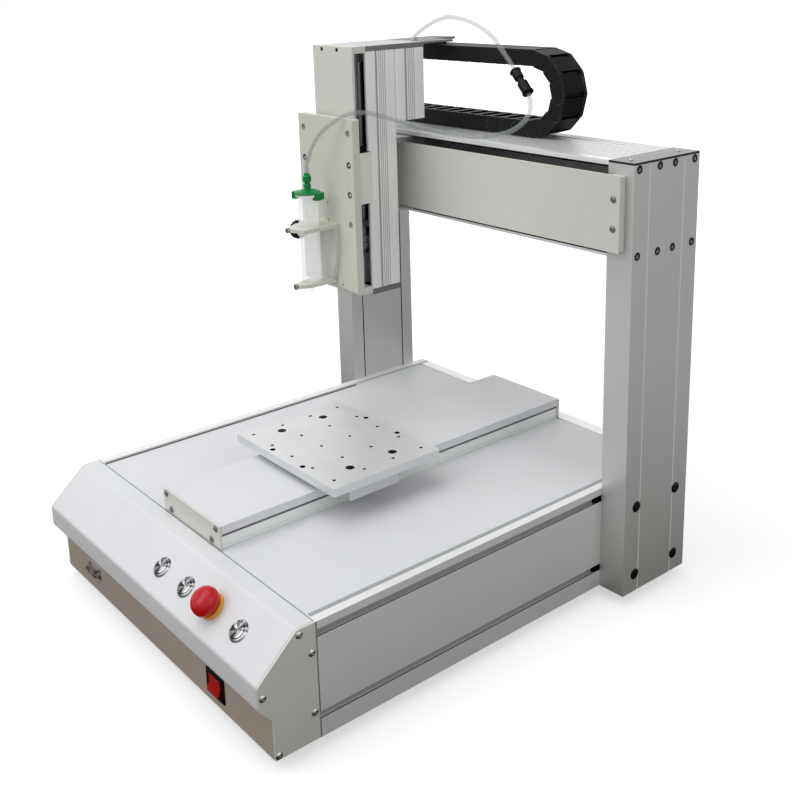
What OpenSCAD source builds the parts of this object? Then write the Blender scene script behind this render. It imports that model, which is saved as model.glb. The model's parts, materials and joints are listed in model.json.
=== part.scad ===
// Three axis desktop dispensing robot. The work table runs front to back (Y), the dispensing
// head runs along the gantry beam (X) and its tool plate runs up and down (Z).
// Sizes are millimetres. The modules draw in the base frame: X is 0 at the middle of the base,
// Y is 0 at the console's lower front face and Z is 0 under the base. place() moves a node to
// the part's own frame: middle of the footprint, on the plane that the feet stand on.

/* [Base] */
// Width across the base side rails
base_w = 466; // [440:1:500]
// Depth from the console's lower front face to the back
base_d = 580; // [560:1:620]
// Height of the base without its feet
base_h = 124; // [118:1:140]
// Thickness of the base side rails
rail_t = 15.5; // [14:0.5:20]
// Thickness of the rear panel
rear_t = 15; // [12:0.5:20]
// Thickness of the deck plates
deck_t = 3; // [2:0.5:5]
// Step from the rail tops down to the deck
deck_drop = 1.5; // [1:0.5:3]
// Thickness of the bottom plate
bottom_t = 2.5; // [2:0.5:5]
// Height of the rubber feet
foot_h = 12; // [8:1:20]
// Radius of the rubber feet
foot_r = 19; // [12:1:25]
// Distance from the base's sides to the foot centres
foot_inset = 50; // [40:1:80]

/* [Console] */
// Depth of the console, from its lower front face
console_d = 51; // [45:1:60]
// Reach of the nose in front of the lower front face
nose_out = 15; // [10:1:18]
// Height of the nose's upper front edge
nose_top_z = 84; // [78:1:90]
// Height of the nose's lower front edge
nose_low_z = 60; // [54:1:66]
// Height at which the slanted underside meets the lower front face
recess_z = 42; // [36:1:46]
// Depth of the flat strip along the console's top
top_strip = 21; // [16:1:26]
// Thickness of the console's sheet
sheet_t = 2; // [1.5:0.5:3]
// Thickness of the console's end plates
end_t = 3; // [2:0.5:5]
// Distance between neighbouring push buttons
button_pitch = 51; // [40:1:55]
// X of the leftmost push button
button_x = 17; // [0:1:20]
// Outer radius of a push button's bezel
bezel_r = 11.5; // [10.5:0.5:12.5]
// Radius of a push button's cap
cap_r = 8; // [6:0.5:8.5]
// Travel of a push button
button_travel = 2.5; // [1.5:0.5:3]
// Radius of the emergency stop's mushroom head
estop_r = 15.5; // [14:0.5:18]
// Height of the emergency stop's head over the console
estop_h = 24; // [22:1:30]
// Travel of the emergency stop
estop_travel = 4; // [3:0.5:5]
// X of the mains switch
switch_x = 128; // [110:1:150]
// Width of the mains switch's frame
switch_w = 33; // [31:1:36]
// Height of the mains switch's frame
switch_h = 27; // [25:1:28]
// X of the data port
port_x = -153; // [-170:1:-120]

/* [Y axis] */
// Width of the Y module's cover
y_cover_w = 122; // [118:1:126]
// Height of the Y module's cover over the deck
y_rise = 27.5; // [26:0.5:30]
// Height of the cover's folded sides
y_skirt = 10; // [8:0.5:12]
// Height of the slot that the carriage's wings pass through
y_slot = 3.5; // [3:0.5:4.5]
// Height of the Y module's body
y_body_h = 44; // [42:1:52]
// Y of the table's middle as it stands
table_y = 247; // [240:1:260]
// Width of the table
table_w = 200; // [196:1:210]
// Depth of the table
table_d = 152; // [148:1:160]
// Thickness of the table
table_t = 9.7; // [8:0.1:12]
// Gap between the cover and the table's underside
table_gap = 7; // [6:0.5:9]
// Pitch of the tapped holes across the table
hole_px = 41; // [38:0.5:42]
// Pitch of the tapped holes along the table
hole_py = 41.5; // [40:0.5:42]

/* [Gantry] */
// Thickness of the columns
col_t = 34.5; // [30:0.5:40]
// Depth of the columns
col_d = 111; // [105:1:120]
// Distance from the console's lower front face to the columns
col_y = 450; // [440:1:455]
// Height of the gantry over the base's underside
gantry_h = 503; // [490:1:530]
// Thickness of the column caps
col_cap_t = 2.5; // [2:0.5:4]
// Height of the beam
beam_h = 105; // [102:1:110]
// Height of the beam's front cover
beam_cover_h = 84; // [80:1:85]
// Overlap of the beam's cover on each column
cover_lap = 24.5; // [20:0.5:28]
// Distance from the columns' front to the cover's face
cover_out = 10.4; // [9:0.2:12]

/* [X and Z axes] */
// X of the Z module's middle as it stands
head_x = -112; // [-115:1:-100]
// Width of the Z module
z_w = 79.6; // [78:0.2:86]
// Distance from the columns' front forward to the Z cover's face
z_out = 104.8; // [104:0.2:108]
// Depth of the Z module's body
z_body_d = 46; // [46:0.5:50]
// Depth from the Z cover's face to the body's walls
z_slot_d = 20.3; // [20:0.1:22]
// Height of the Z module's top
z_top = 616; // [610:1:630]
// Height of the Z module's underside
z_low = 306.5; // [302:0.5:310]
// Thickness of the Z module's end plates
z_plate_t = 6.5; // [5:0.5:8]
// Radius of the Z extrusion's corners
z_corner_r = 2.5; // [1:0.5:3.5]
// Width of the tool plate
tool_w = 112.4; // [110:0.2:120]
// Height of the tool plate
tool_h = 213.5; // [205:0.5:225]
// Thickness of the tool plate
tool_t = 10; // [8:0.5:11]
// Height of the tool plate's lower edge
tool_z = 319; // [316:1:322]

/* [Drives] */
// Width of the stepper motors
motor_w = 42; // [40:0.5:42]
// Length of the Y motor
motor_l = 44; // [38:1:46]
// Length of the X motor
x_motor_l = 31; // [28:1:32]
// Length of the Z motor
z_motor_l = 36; // [34:1:44]
// Radius of the X and Y lead screws
screw_r = 6; // [5:0.5:7]
// Radius of the Z lead screw
z_screw_r = 5; // [4:0.5:6]
// Radius of the shaft couplings
coupling_r = 9.5; // [8.5:0.5:10]
// Thickness of the Y screw's supports
support_t = 12; // [10:1:14]
// Width of the guide rails
guide_w = 12; // [9:1:12]
// Height of the guide rails
guide_h = 8; // [6:0.5:9]

/* [Syringe] */
// Outer radius of the syringe barrel
barrel_r = 12.7; // [10:0.1:13]
// Wall of the syringe barrel
barrel_wall = 1.6; // [1:0.2:2.4]
// Distance from the tool plate's face to the barrel's axis
barrel_out = 29.5; // [29:0.5:36]
// Thickness of the bracket's arms
arm_t = 4.8; // [4:0.1:6]
// Distance from the barrel's axis to the bracket's right side
bracket_right = 21.5; // [18:0.5:24]
// Distance from the barrel's axis to the bracket's left side
bracket_left = 18; // [17:0.5:20]

/* [Cable chain] */
// Height of a chain link
link_h = 19.5; // [18:0.5:20]
// Width of the chain
chain_w = 41; // [30:1:42]
// X of the bend's centre as it stands
bend_x = 66; // [60:1:75]
// Pitch of the links
link_pitch = 22; // [21:0.5:26]
// Outer diameter of the air tube
tube_d = 6; // [4:0.5:6]

/* [Hidden] */

$fn = 48;
e = 0.01;
// Clearance of a plate between two others, of a moving wing and of a shaft in its bore
fit = 0.2;
wing_gap = 0.6;
bore_gap = 0.08;
white = "whitesmoke";
cream = "#d9d8cc";
alu = "#b9bbbd";
steel = "silver";
dark = "#26282a";

side_x = base_w / 2;
inner_x = side_x - rail_t;
deck_z = base_h - deck_drop;
// Tee slots of the extrusions
slot_w = 8;
slot_lip = 2;
slot_in = 12;
slot_deep = 6;
slot_low = 24;
slot_high = base_h - 12.5;

// Console profile
slope_y0 = -nose_out;
slope_y1 = console_d - top_strip;
slope_mid_y = (slope_y0 + slope_y1) / 2;
slope_mid_z = (nose_top_z + base_h) / 2;
slope_a = atan((base_h - nose_top_z) / (slope_y1 - slope_y0));
console_pts = [[0, 0], [console_d, 0], [console_d, base_h], [slope_y1, base_h],
    [-nose_out, nose_top_z], [-nose_out, nose_low_z], [0, recess_z]];
bend_radii = [0, 0, 0, 8, 6, 6, 4];
estop_x = button_x + 2 * button_pitch;
button_s = -2;
estop_s = 0;
switch_z = 24;
rocker_y = 3;
port_z = 26;
screw_head_r = 3.9;
screw_head_h = 2.2;
end_screws = [[console_d - 18.4, base_h - 5.5], [console_d - 5.5, 94], [-nose_out + 5.2, 72],
    [console_d - 5.5, 30.5], [3.8, 4.8]];

// Y module
y_top = deck_z + y_rise;
y_half = y_cover_w / 2;
y_body_half = y_half - 2;
y_body_top = y_top - y_skirt - y_slot;
y_body_z = y_body_top - y_body_h;
y_wall = 5;
y_floor = y_body_z + 5;
y_plate_t = 3.3;
y_front = console_d + 0.7;
y_rear = base_d - rear_t + 1.7;
y_screw_z = y_floor + 21;
y_car_y0 = table_y - 55;
y_car_len = 74;
arm_y0 = table_y - 53;
arm_len = 70;
riser_len = 90;
riser_x0 = y_half + 3;
riser_x1 = y_half + 13;
arm_x1 = y_half + 36;
table_z = y_top + table_gap;
table_bolt_x = 68.5;
table_bolt_y = 30.5;
motor_gap = 2;
y_motor_y = y_rear - motor_l - 8;
y_coupling = 24;
y_screw_end = y_motor_y - y_coupling - motor_gap;
y_support_y = [y_front + 22, y_screw_end - support_t - 2];
shaft_l = 28;
shaft_r = 2.5;

// Gantry
col_mid = col_y + col_d / 2;
beam_z0 = gantry_h - beam_h;
beam_wall = 5.4;
beam_floor = 3.5;
beam_in = 75;
cover_z1 = gantry_h - 12.8;
cover_z0 = cover_z1 - beam_cover_h;
cover_t = 1.5;
x_screw_y = col_y + 44;
x_screw_z = (cover_z0 + cover_z1) / 2;
bolt_r = 4.5;
bolt_y = [-47, -13, 13, 47];
plug_r = 7;
plug_y = 35.5;
plug_z = [22, 107];

// X carriage and Z module
x_car_half = 22;
x_block_half = 20;
z_face = col_y - z_out;
z_wall_y = z_face + z_slot_d;
z_back = z_wall_y + z_body_d;
z_half = z_w / 2;
z_wall = 4;
z_floor = 5;
z_body_z0 = z_low + 7.5;
z_body_z1 = z_top - z_plate_t;
z_cover_t = 1.5;
z_screw_y = z_back - z_floor - 21.5;
z_box_gap = 0.5;
z_box_z = gantry_h + 18;
wing_z0 = 427;
wing_h = 63;
wing_y0 = z_face + 5.3;
wing_y1 = z_wall_y - 2;
wing_x = z_half + 8.8;
tool_gap = 5.7;
tool_y = z_face - tool_gap - tool_t;
tool_bolt_x = 46.2;
tool_bolt_z = [84.6, 121.7, 158.2, 196.4];

// Syringe
barrel_y = tool_y - barrel_out;
low_half = 14;
nozzle_r = 9;
high_tip = [-1.5, -29.5];
low_tip = [2.6, -24];
arm_low_z = 325;
arm_high_z = 396.8;
knob_z = 392;
barrel_z0 = 333.5;
barrel_z1 = 438;
cap_z = barrel_z1 + 3.3;
tip_z = 316;

// Cable chain
chain_y0 = col_y + 56;
chain_z0 = gantry_h + 1;
chain_drop = 8;
chain_z1 = z_top - chain_drop;
bend_r = (chain_z1 - chain_z0) / 2;
bend_z = chain_z0 + bend_r;
bend_n = 2 * max(1, round(PI * (bend_r - link_h / 2) / link_pitch / 2));
layer_t = 2.2;
lug_gap = 0.3;
lug_play = 0.06;
bridge = 7.1;
corner = 6.5;
slat_t = 2.4;
slat_gap = 0.8;
rib_half = 3.5;
pin_r = 2.6;
lip_r = link_h / 2 - slat_t - 0.35;
lip_t = 1.4;
upper_x0 = head_x - 39;
lower_x0 = -side_x + 28;

tube_end_z = cap_z + 24.8;

// Air tube. The first route runs from the head's top to the inline connector, the second from
// there over the beam and round the head to the syringe cap.
fitting_at = [-106, 470];
tube_a = [[-106, 470, 620], [-88, 474, 632], [-65, 476, 641.5], [-45, 478, 645], [-20, 480, 642],
    [4, 482, 634], [24, 483, 623], [39, 484, 608], [52, 484, 595], [61.5, 483, 585]];
joint_a = [61.5, 483, 585];
joint_b = [90, 477.3, 560];
tube_b = [[90, 477.3, 560], [97, 473, 549], [100, 468, 540], [99, 462, 532], [94, 457, 525],
    [86, 451, 519], [74, 446, 515], [49, 438, 511], [25, 428, 511], [3, 416, 514], [-17, 402, 519.5],
    [-37, 388, 526.5], [-50, 374, 532.5], [-60, 361, 537], [-64, 348, 539], [-68, 337, 538.5],
    [-71, 328.5, 536.5], [-76.5, 321.5, 531.5], [-85.5, 312.5, 522.5], [-95, 307, 511.5], [-102.5, 303, 499],
    [-107, 301, 487], [-111, 300.2, 479.5], [-112, 300, 474], [-112, 300, 470], [-112, 300, tube_end_z]];

module place() {
    translate([0, (nose_out - base_d) / 2, foot_h]) children();
}

// Straight box between two corners
module box(lo, hi) {
    translate(lo) cube(hi - lo);
}

// Extrusions of a flat shape along X, with its x as Y and its y as Z, and along Y
module along_x(len) {
    rotate([90, 0, 90]) linear_extrude(len) children();
}

module along_y(len) {
    translate([0, len, 0]) rotate([90, 0, 0]) linear_extrude(len) children();
}

// Cylinders with their axis along X or Y, from a point
module rod_x(r, len) {
    rotate([0, 90, 0]) cylinder(r = r, h = len);
}

module rod_y(r, len) {
    rotate([-90, 0, 0]) cylinder(r = r, h = len);
}

module both_sides() {
    children();
    mirror([1, 0, 0]) children();
}

// Mouth of a tee slot, opening at y = 0 and running into +y
module tee_slot() {
    translate([-slot_w / 2, -1]) square([slot_w, slot_deep + 1]);
    translate([-slot_in / 2, slot_lip]) square([slot_in, slot_deep - slot_lip]);
}

// Outline with every edge moved inwards by t; the points run anticlockwise
function unit(v) = v / norm(v);
function edge_normal(a, b) = [a[1] - b[1], b[0] - a[0]] / norm(b - a);
function inset(p, t) = [for (i = [0:len(p) - 1])
    let (a = p[(i + len(p) - 1) % len(p)], c = p[(i + 1) % len(p)])
    let (n = edge_normal(a, p[i]), m = edge_normal(p[i], c))
    p[i] + t * (n + m) / (1 + n * m)];

// Outline with its corners rounded by arcs of n steps; r holds each corner's radius
function turn(a, p, c) = let (u = unit(p - a), v = unit(c - p)) asin(u[0] * v[1] - u[1] * v[0]);
function fillet(p, r, n = 4) = [for (i = [0:len(p) - 1])
    let (a = p[(i + len(p) - 1) % len(p)], c = p[(i + 1) % len(p)])
    let (t = turn(a, p[i], c), s = t < 0 ? -1 : 1, cut = r[i] * tan(abs(t) / 2), u = unit(p[i] - a))
    let (o = p[i] - u * cut + s * r[i] * [-u[1], u[0]], f = p[i] - u * cut - o)
    each r[i] == 0 ? [p[i]] : [for (k = [0:n]) let (w = t * k / n)
        o + [f[0] * cos(w) - f[1] * sin(w), f[0] * sin(w) + f[1] * cos(w)]]];

// Rectangle with rounded corners
module rounded(size, r) {
    for (x = [r, size[0] - r], y = [r, size[1] - r]) translate([x, y]) circle(r);
    translate([r, 0]) square([size[0] - 2 * r, size[1]]);
    translate([0, r]) square([size[0], size[1] - 2 * r]);
}

// Local frame on the console's slope: z points out of the panel, y runs up the slope
module on_slope(x, s) {
    translate([x, slope_mid_y, slope_mid_z]) rotate([slope_a, 0, 0]) translate([0, s, 0]) children();
}

// Button head screw, its axis along z and its head on the plane z = 0, with a hex socket
module button_head() {
    difference() {
        intersection() {
            cylinder(r = screw_head_r, h = screw_head_h);
            translate([0, 0, screw_head_h - 5.2]) sphere(5.2);
        }
        translate([0, 0, 0.9]) cylinder(r = 1.45, h = 3, $fn = 6);
    }
}

// Socket head cap screw, head from z = 0 up, shank down
module cap_screw(head_r, head_h, shank_r, shank) {
    difference() {
        cylinder(r = head_r, h = head_h);
        translate([0, 0, head_h * 0.45]) cylinder(r = head_r * 0.52, h = head_h, $fn = 6);
    }
    translate([0, 0, -shank]) cylinder(r = shank_r, h = shank + e);
}

module base_side() {
    translate([inner_x, console_d, 0]) along_y(base_d - console_d) difference() {
        square([rail_t, base_h]);
        for (z = [slot_low, slot_high]) translate([rail_t, z]) rotate(90) tee_slot();
        translate([4, slot_low + 14]) square([rail_t - 7, slot_high - slot_low - 28]);
    }
    box([inner_x - 7, console_d, deck_z - deck_t - 4], [inner_x + e, base_d - rear_t - fit, deck_z - deck_t]);
}

module base_sides() {
    color(alu) place() difference() {
        both_sides() base_side();
        for (y = [-plug_y, plug_y], z = plug_z)
            translate([-side_x - 1, col_mid + y, z]) rod_x(3.2, base_w + 2);
    }
}

module rear_panel() {
    color(alu) place() difference() {
        translate([-inner_x + fit, base_d - rear_t, 0]) along_x(2 * (inner_x - fit)) difference() {
            square([rear_t, base_h]);
            for (z = [slot_low, slot_high]) translate([rear_t, z]) rotate(90) tee_slot();
        }
        translate([-150 - 24.5, base_d - 3, 52.5]) cube([49, 4, 29]);
        translate([-150 - 14.5, base_d - rear_t - 1, 56]) cube([29, rear_t, 22]);
        box([-y_half - fit, base_d - rear_t - 1, y_body_z - 1],
            [y_half + fit, base_d - rear_t + 1.9, base_h + 1]);
    }
}

module bottom_plate() {
    color(alu) place() difference() {
        box([-inner_x + fit, 3, 0], [inner_x - fit, base_d - rear_t - fit, bottom_t]);
        for (i = [-3:3]) translate([i * 40 - 2, base_d - 150, -1]) cube([4, 70, bottom_t + 2]);
    }
}

module deck_plates() {
    color(white) place() both_sides()
        box([y_body_half + fit, console_d + e, deck_z - deck_t],
            [inner_x - fit, base_d - rear_t - fit, deck_z]);
}

module console_profile() {
    polygon(fillet(console_pts, bend_radii));
}

module console_hollow() {
    polygon(inset(fillet([[0, -10], [console_d + 10, -10], [console_d + 10, base_h], [slope_y1, base_h],
        [-nose_out, nose_top_z], [-nose_out, nose_low_z], [0, recess_z]], bend_radii), sheet_t));
}

module console_cover() {
    color(white) place() difference() {
        translate([-side_x + end_t, 0, 0]) along_x(base_w - 2 * end_t) difference() {
            console_profile();
            console_hollow();
        }
        for (i = [0, 1, 3]) on_slope(button_x + i * button_pitch, button_s)
            translate([0, 0, -8]) cylinder(r = bezel_r - 1.9, h = 16);
        on_slope(estop_x, estop_s) translate([0, 0, -8]) cylinder(r = 11.1, h = 16);
        translate([switch_x - switch_w / 2 + 2, -1, switch_z - switch_h / 2 + 2])
            cube([switch_w - 4, sheet_t + 2, switch_h - 4]);
        translate([port_x - 10, -1, port_z - 5.5]) cube([20, sheet_t + 2, 11]);
    }
}

module console_ends() {
    color(cream) place() both_sides() translate([side_x - end_t, 0, 0]) along_x(end_t)
        console_profile();
}

module case_screws() {
    color(steel) place() {
        both_sides() for (p = end_screws) translate([side_x, p[0], p[1]]) rotate([0, 90, 0])
            button_head();
        for (x = [-54, 54]) translate([x, y_front, y_top - 4.5]) rotate([90, 0, 0]) button_head();
        for (x = [-44, 44]) translate([x, y_front, y_body_z + 37]) rotate([90, 0, 0]) button_head();
        both_sides() for (z = [-16, 16])
            translate([side_x + cover_lap - 8.5, col_y - cover_out, x_screw_z + z])
            rotate([90, 0, 0]) button_head();
        both_sides() for (y = [-40, 40]) translate([side_x + col_t / 2, col_mid + y, gantry_h])
            scale(0.8) button_head();
    }
}

module feet() {
    color(dark) place() for (x = [-side_x + foot_inset, side_x - foot_inset],
        y = [foot_inset, base_d - foot_inset]) translate([x, y, -foot_h]) difference() {
        cylinder(r = foot_r, h = foot_h);
        translate([0, 0, -1]) cylinder(r = 7, h = 5);
    }
}

module switch_frame() {
    color(dark) place() translate([switch_x, 0, switch_z]) difference() {
        union() {
            box([-switch_w / 2, -2, -switch_h / 2], [switch_w / 2, 0, switch_h / 2]);
            box([-switch_w / 2 + 2.2, -1, -switch_h / 2 + 2.2], [switch_w / 2 - 2.2, 22, switch_h / 2 - 2.2]);
        }
        box([-switch_w / 2 + 5.5, -3, -switch_h / 2 + 3.5], [switch_w / 2 - 5.5, 9, switch_h / 2 - 3.5]);
        translate([-switch_w / 2 + 3.8, rocker_y, 0]) rod_x(1.55, switch_w - 7.6);
    }
}

// The rocker turns on two pins along X; its front is a shallow vee and its top is pressed in
module switch_rocker() {
    half_w = switch_w / 2 - 6;
    half_h = switch_h / 2 - 4.9;
    color("red") place() translate([switch_x, rocker_y, switch_z]) rotate([-10, 0, 0]) {
        translate([-half_w, 0, 0]) along_x(2 * half_w)
            polygon([[0, -half_h], [1.6, -2], [1.6, 2], [0, half_h], [-7, half_h], [-5, 0], [-7, -half_h]]);
        translate([-half_w - 1.8, 0, 0]) rod_x(1.5, 2 * half_w + 3.6);
    }
}

module data_port() {
    color("#3a5f9e") place() translate([port_x, -3.5, port_z]) along_y(6) union() {
        translate([-8, -3.6]) square([16, 7.2]);
    }
    color(steel) place() translate([port_x, 0, port_z]) {
        difference() {
            union() {
                box([-15.4, -1, -6.2], [15.4, 0, 6.2]);
                box([-9.2, -5.5, -4.8], [9.2, 1, 4.8]);
            }
            box([-8, -6, -3.6], [8, 5, 3.6]);
        }
        for (x = [-12.5, 12.5]) translate([x, -6, 0]) rod_y(2.6, 5, $fn = 6);
    }
}

module button_bezels() {
    color(steel) place() for (i = [0, 1, 3]) on_slope(button_x + i * button_pitch, button_s)
        difference() {
        union() {
            cylinder(r1 = bezel_r, r2 = bezel_r - 1.2, h = 2.2);
            translate([0, 0, -24]) cylinder(r = bezel_r - 2, h = 25);
        }
        translate([0, 0, -6]) cylinder(r = cap_r + 0.3, h = 10);
    }
}

module button_cap(i) {
    color(steel) place() on_slope(button_x + i * button_pitch, button_s)
        translate([0, 0, 3.2 - 6]) difference() {
        cylinder(r = cap_r, h = 6);
        translate([0, 0, 27.4]) sphere(22);
    }
}

module button_cap_left() {
    button_cap(0);
}

module button_cap_middle() {
    button_cap(1);
}

module button_cap_right() {
    button_cap(3);
}

module estop_collar() {
    color("gold") place() on_slope(estop_x, estop_s) difference() {
        union() {
            cylinder(r1 = 14.2, r2 = 13.4, h = 4);
            translate([0, 0, -26]) cylinder(r = 11, h = 27);
        }
        translate([0, 0, -8]) cylinder(r = 8.4, h = 20);
    }
}

module estop_stem() {
    color("firebrick") place() on_slope(estop_x, estop_s) {
        translate([0, 0, -3]) cylinder(r = 8, h = estop_h - 13);
        translate([0, 0, 4]) cylinder(r = 3.8, h = estop_h - 10);
    }
}

module estop_head() {
    dome = estop_h - 15.7;
    color("red") place() on_slope(estop_x, estop_s) difference() {
        rotate_extrude() polygon(concat([[0, 9], [estop_r - 3, 9], [estop_r - 0.6, 10], [estop_r, 12]],
            [for (a = [15:15:90]) [estop_r * cos(a), 12 + (estop_h - 12) * sin(a)]]));
        translate([0, 0, 8]) cylinder(r = 3.85, h = estop_h - 13.9);
    }
}

module electronics() {
    board_z = bottom_t + 8;
    color("darkgreen") place() translate([-inner_x + 38, base_d - 250, 0]) {
        box([0, 0, board_z], [160, 120, board_z + 1.6]);
        for (x = [8, 152], y = [8, 112]) translate([x, y, bottom_t]) cylinder(r = 3, h = 8);
        for (i = [0:2]) box([15 + i * 48, 20, board_z + 1.6], [53 + i * 48, 90, board_z + 22]);
    }
    color(alu) place() translate([40, base_d - 280, bottom_t]) cube([99, 200, 42]);
}

module power_inlet() {
    color(dark) place() translate([-150, base_d, 67]) difference() {
        union() {
            box([-24, -3, -14], [24, 0, 14]);
            box([-14, -24, -10.5], [14, -1, 10.5]);
        }
        box([-11.5, -18, -7.5], [11.5, 1, 7.5]);
    }
    color(steel) place() for (x = [-7, 0, 7])
        box([-150 + x - 1, base_d - 22, 65], [-150 + x + 1, base_d - 4, 69]);
}

module y_body() {
    color(alu) place() difference() {
        translate([0, y_front + y_plate_t, 0]) along_y(y_rear - y_front - 2 * y_plate_t) difference() {
            translate([-y_body_half, y_body_z]) square([2 * y_body_half, y_body_h]);
            translate([-y_body_half + y_wall, y_floor])
                square([2 * (y_body_half - y_wall), y_body_h]);
            for (s = [-1, 1]) translate([s * y_body_half, deck_z + 5]) square([2, 1.2], center = true);
        }
        for (x = [-40, 40], y = [120, 500]) translate([x, y, y_body_z - 1]) cylinder(r = 2.8, h = 9);
    }
}

module y_cover() {
    color(white) place() translate([0, y_front + y_plate_t, 0])
        along_y(y_rear - y_front - 2 * y_plate_t) difference() {
        translate([-y_half, y_top - y_skirt]) square([2 * y_half, y_skirt]);
        translate([-y_half + 1.5, y_top - y_skirt - 1]) square([2 * y_half - 3, y_skirt - 0.5]);
    }
}

module y_end_plates() {
    color(cream) place() {
        box([-y_half, y_front, deck_z], [y_half, y_front + y_plate_t, y_top]);
        box([-y_body_half, y_front + 0.5, y_body_z], [y_body_half, y_front + y_plate_t, deck_z + e]);
        box([-y_half, y_rear - y_plate_t, deck_z + 2], [y_half, y_rear, y_top - 1]);
        box([-y_body_half, y_rear - y_plate_t, y_body_z], [y_body_half, y_rear - 0.5, deck_z + 2 + e]);
    }
}

// Linear guide rails: a pair on the Y module's floor and a pair on the beam's back wall
module guide_rails() {
    color(steel) place() {
        both_sides() box([38 - guide_w / 2, y_front + 6, y_floor], [38 + guide_w / 2, y_motor_y, y_floor + guide_h]);
        for (z = [-26, 26])
            box([-side_x + 6, col_y + beam_in - guide_h, x_screw_z + z - guide_w / 2],
                [side_x - 6, col_y + beam_in, x_screw_z + z + guide_w / 2]);
    }
}

x_motor_x = side_x - x_motor_l;
x_coupling = 20;
x_screw_end = x_motor_x - motor_gap - x_coupling;
x_support_t = 9;
x_support_x = [-side_x + 46, x_screw_end - x_support_t - 1];

module screw_supports() {
    color(alu) place() {
        for (y = y_support_y) difference() {
            box([-20, y, y_floor], [20, y + support_t, y_screw_z + 14]);
            translate([0, y - 1, y_screw_z]) rod_y(screw_r + bore_gap, support_t + 2);
        }
        for (x = x_support_x) difference() {
            box([x, x_screw_y - 14, x_screw_z - 14], [x + x_support_t, col_y + beam_in, x_screw_z + 14]);
            translate([x - 1, x_screw_y, x_screw_z]) rod_x(screw_r + bore_gap, x_support_t + 2);
        }
    }
}

// Stepper motor, its front face on z = 0 and its body towards -z
module stepper(len) {
    difference() {
        translate([-motor_w / 2, -motor_w / 2, -len]) cube([motor_w, motor_w, len]);
        for (a = [45:90:315]) rotate(a) translate([motor_w * 0.66, -10, -len - 1])
            cube([10, 20, len + 2]);
        translate([0, 0, -len - 1]) cylinder(r = shaft_r + 0.1, h = len + 2);
    }
}

module axis_motors() {
    color("dimgray") place() {
        translate([0, y_motor_y, y_screw_z]) rotate([90, 0, 0]) stepper(motor_l);
        translate([x_motor_x, x_screw_y, x_screw_z]) rotate([0, -90, 0]) stepper(x_motor_l);
    }
}

// Lead screw along z with its coupling at the driven end and the motor's shaft beyond it
module lead_screw(len, coupling, shaft) {
    cylinder(r = screw_r, h = len);
    translate([0, 0, len - e]) cylinder(r = coupling_r, h = coupling + 2 * e);
    translate([0, 0, len + coupling]) cylinder(r = shaft_r, h = shaft);
}

module y_screw() {
    color(steel) place() translate([0, y_front + 14, y_screw_z]) rotate([-90, 0, 0])
        lead_screw(y_screw_end - y_front - 14, y_coupling, shaft_l + motor_gap);
}

module y_carriage() {
    color(alu) place() difference() {
        union() {
            translate([0, y_car_y0, 0]) along_y(y_car_len)
                translate([-50, y_floor + 2]) square([100, y_top - 5 - y_floor - 2]);
            translate([0, arm_y0, 0]) along_y(arm_len) {
                translate([-riser_x1, y_body_top + wing_gap]) square([2 * riser_x1, y_slot - 2 * wing_gap + 0.1]);
                for (s = [-1, 1]) scale([s, 1]) translate([riser_x0 + 5, table_z - 13])
                    square([arm_x1 - riser_x0 - 5, 13]);
            }
            both_sides() box([riser_x0, arm_y0, y_body_top + wing_gap], [riser_x1, arm_y0 + riser_len, table_z]);
        }
        both_sides() box([38 - guide_w / 2 - 0.8, 0, 0], [38 + guide_w / 2 + 0.8, base_d, y_floor + guide_h + 0.8]);
        translate([0, 0, y_screw_z]) rod_y(screw_r + bore_gap, base_d);
        both_sides() for (y = [-table_bolt_y, table_bolt_y])
            translate([table_bolt_x, table_y + y, table_z - 12]) cylinder(r = 2.1, h = 13);
    }
}

module table_plate() {
    color(alu) place() translate([0, table_y, table_z]) difference() {
        translate([-table_w / 2, -table_d / 2, 0]) linear_extrude(table_t) rounded([table_w, table_d], 3);
        for (x = [-2:2], y = [-1.5:1:1.5]) translate([x * hole_px, y * hole_py, -1])
            cylinder(r = 2.1, h = table_t + 2);
        for (x = [-table_bolt_x, table_bolt_x], y = [-table_bolt_y, table_bolt_y])
            translate([x, y, -1]) {
            cylinder(r = 2.8, h = table_t + 2);
            translate([0, 0, 5.2]) cylinder(r = 5.2, h = table_t);
        }
        for (x = [-table_bolt_y, table_bolt_y], y = [-table_bolt_x, table_bolt_x])
            translate([x, y, -1]) {
            cylinder(r = 2.1, h = table_t + 2);
            translate([0, 0, 5.2]) cylinder(r = 3.3, h = table_t);
        }
    }
}

module table_bolts() {
    color(dark) place() translate([0, table_y, table_z + 4.2])
        for (x = [-table_bolt_x, table_bolt_x], y = [-table_bolt_y, table_bolt_y])
        translate([x, y, 0]) cap_screw(4.6, 4.6, 2, 14);
}

// Column at the right, as a flat extrusion with bolt holes for the beam and plugs at its foot
module column() {
    translate([side_x, col_y, 0]) difference() {
        linear_extrude(gantry_h - col_cap_t) difference() {
            square([col_t, col_d]);
            for (y = [-36, 36]) translate([0, col_d / 2 + y]) square([2.4, 2], center = true);
            for (y = [-29.5, 29.5]) translate([col_t, col_d / 2 + y]) square([2.4, 1.8], center = true);
            for (y = [-9, 9]) translate([col_t / 2 - 7, col_d / 2 + y - 6]) square([14, 12]);
        }
        for (y = bolt_y, z = [beam_z0 + 4, gantry_h - 7.5]) translate([-1, col_d / 2 + y, z]) {
            rod_x(2.6, col_t + 2);
            translate([col_t - 5, 0, 0]) rod_x(bolt_r + 0.3, 8);
        }
        for (y = [-plug_y, plug_y], z = plug_z) translate([-1, col_d / 2 + y, z]) {
            rod_x(3.2, col_t + 2);
            translate([col_t - 9, 0, 0]) rod_x(plug_r - 0.7, 12);
        }
    }
}

module column_right() {
    color(alu) place() column();
}

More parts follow.
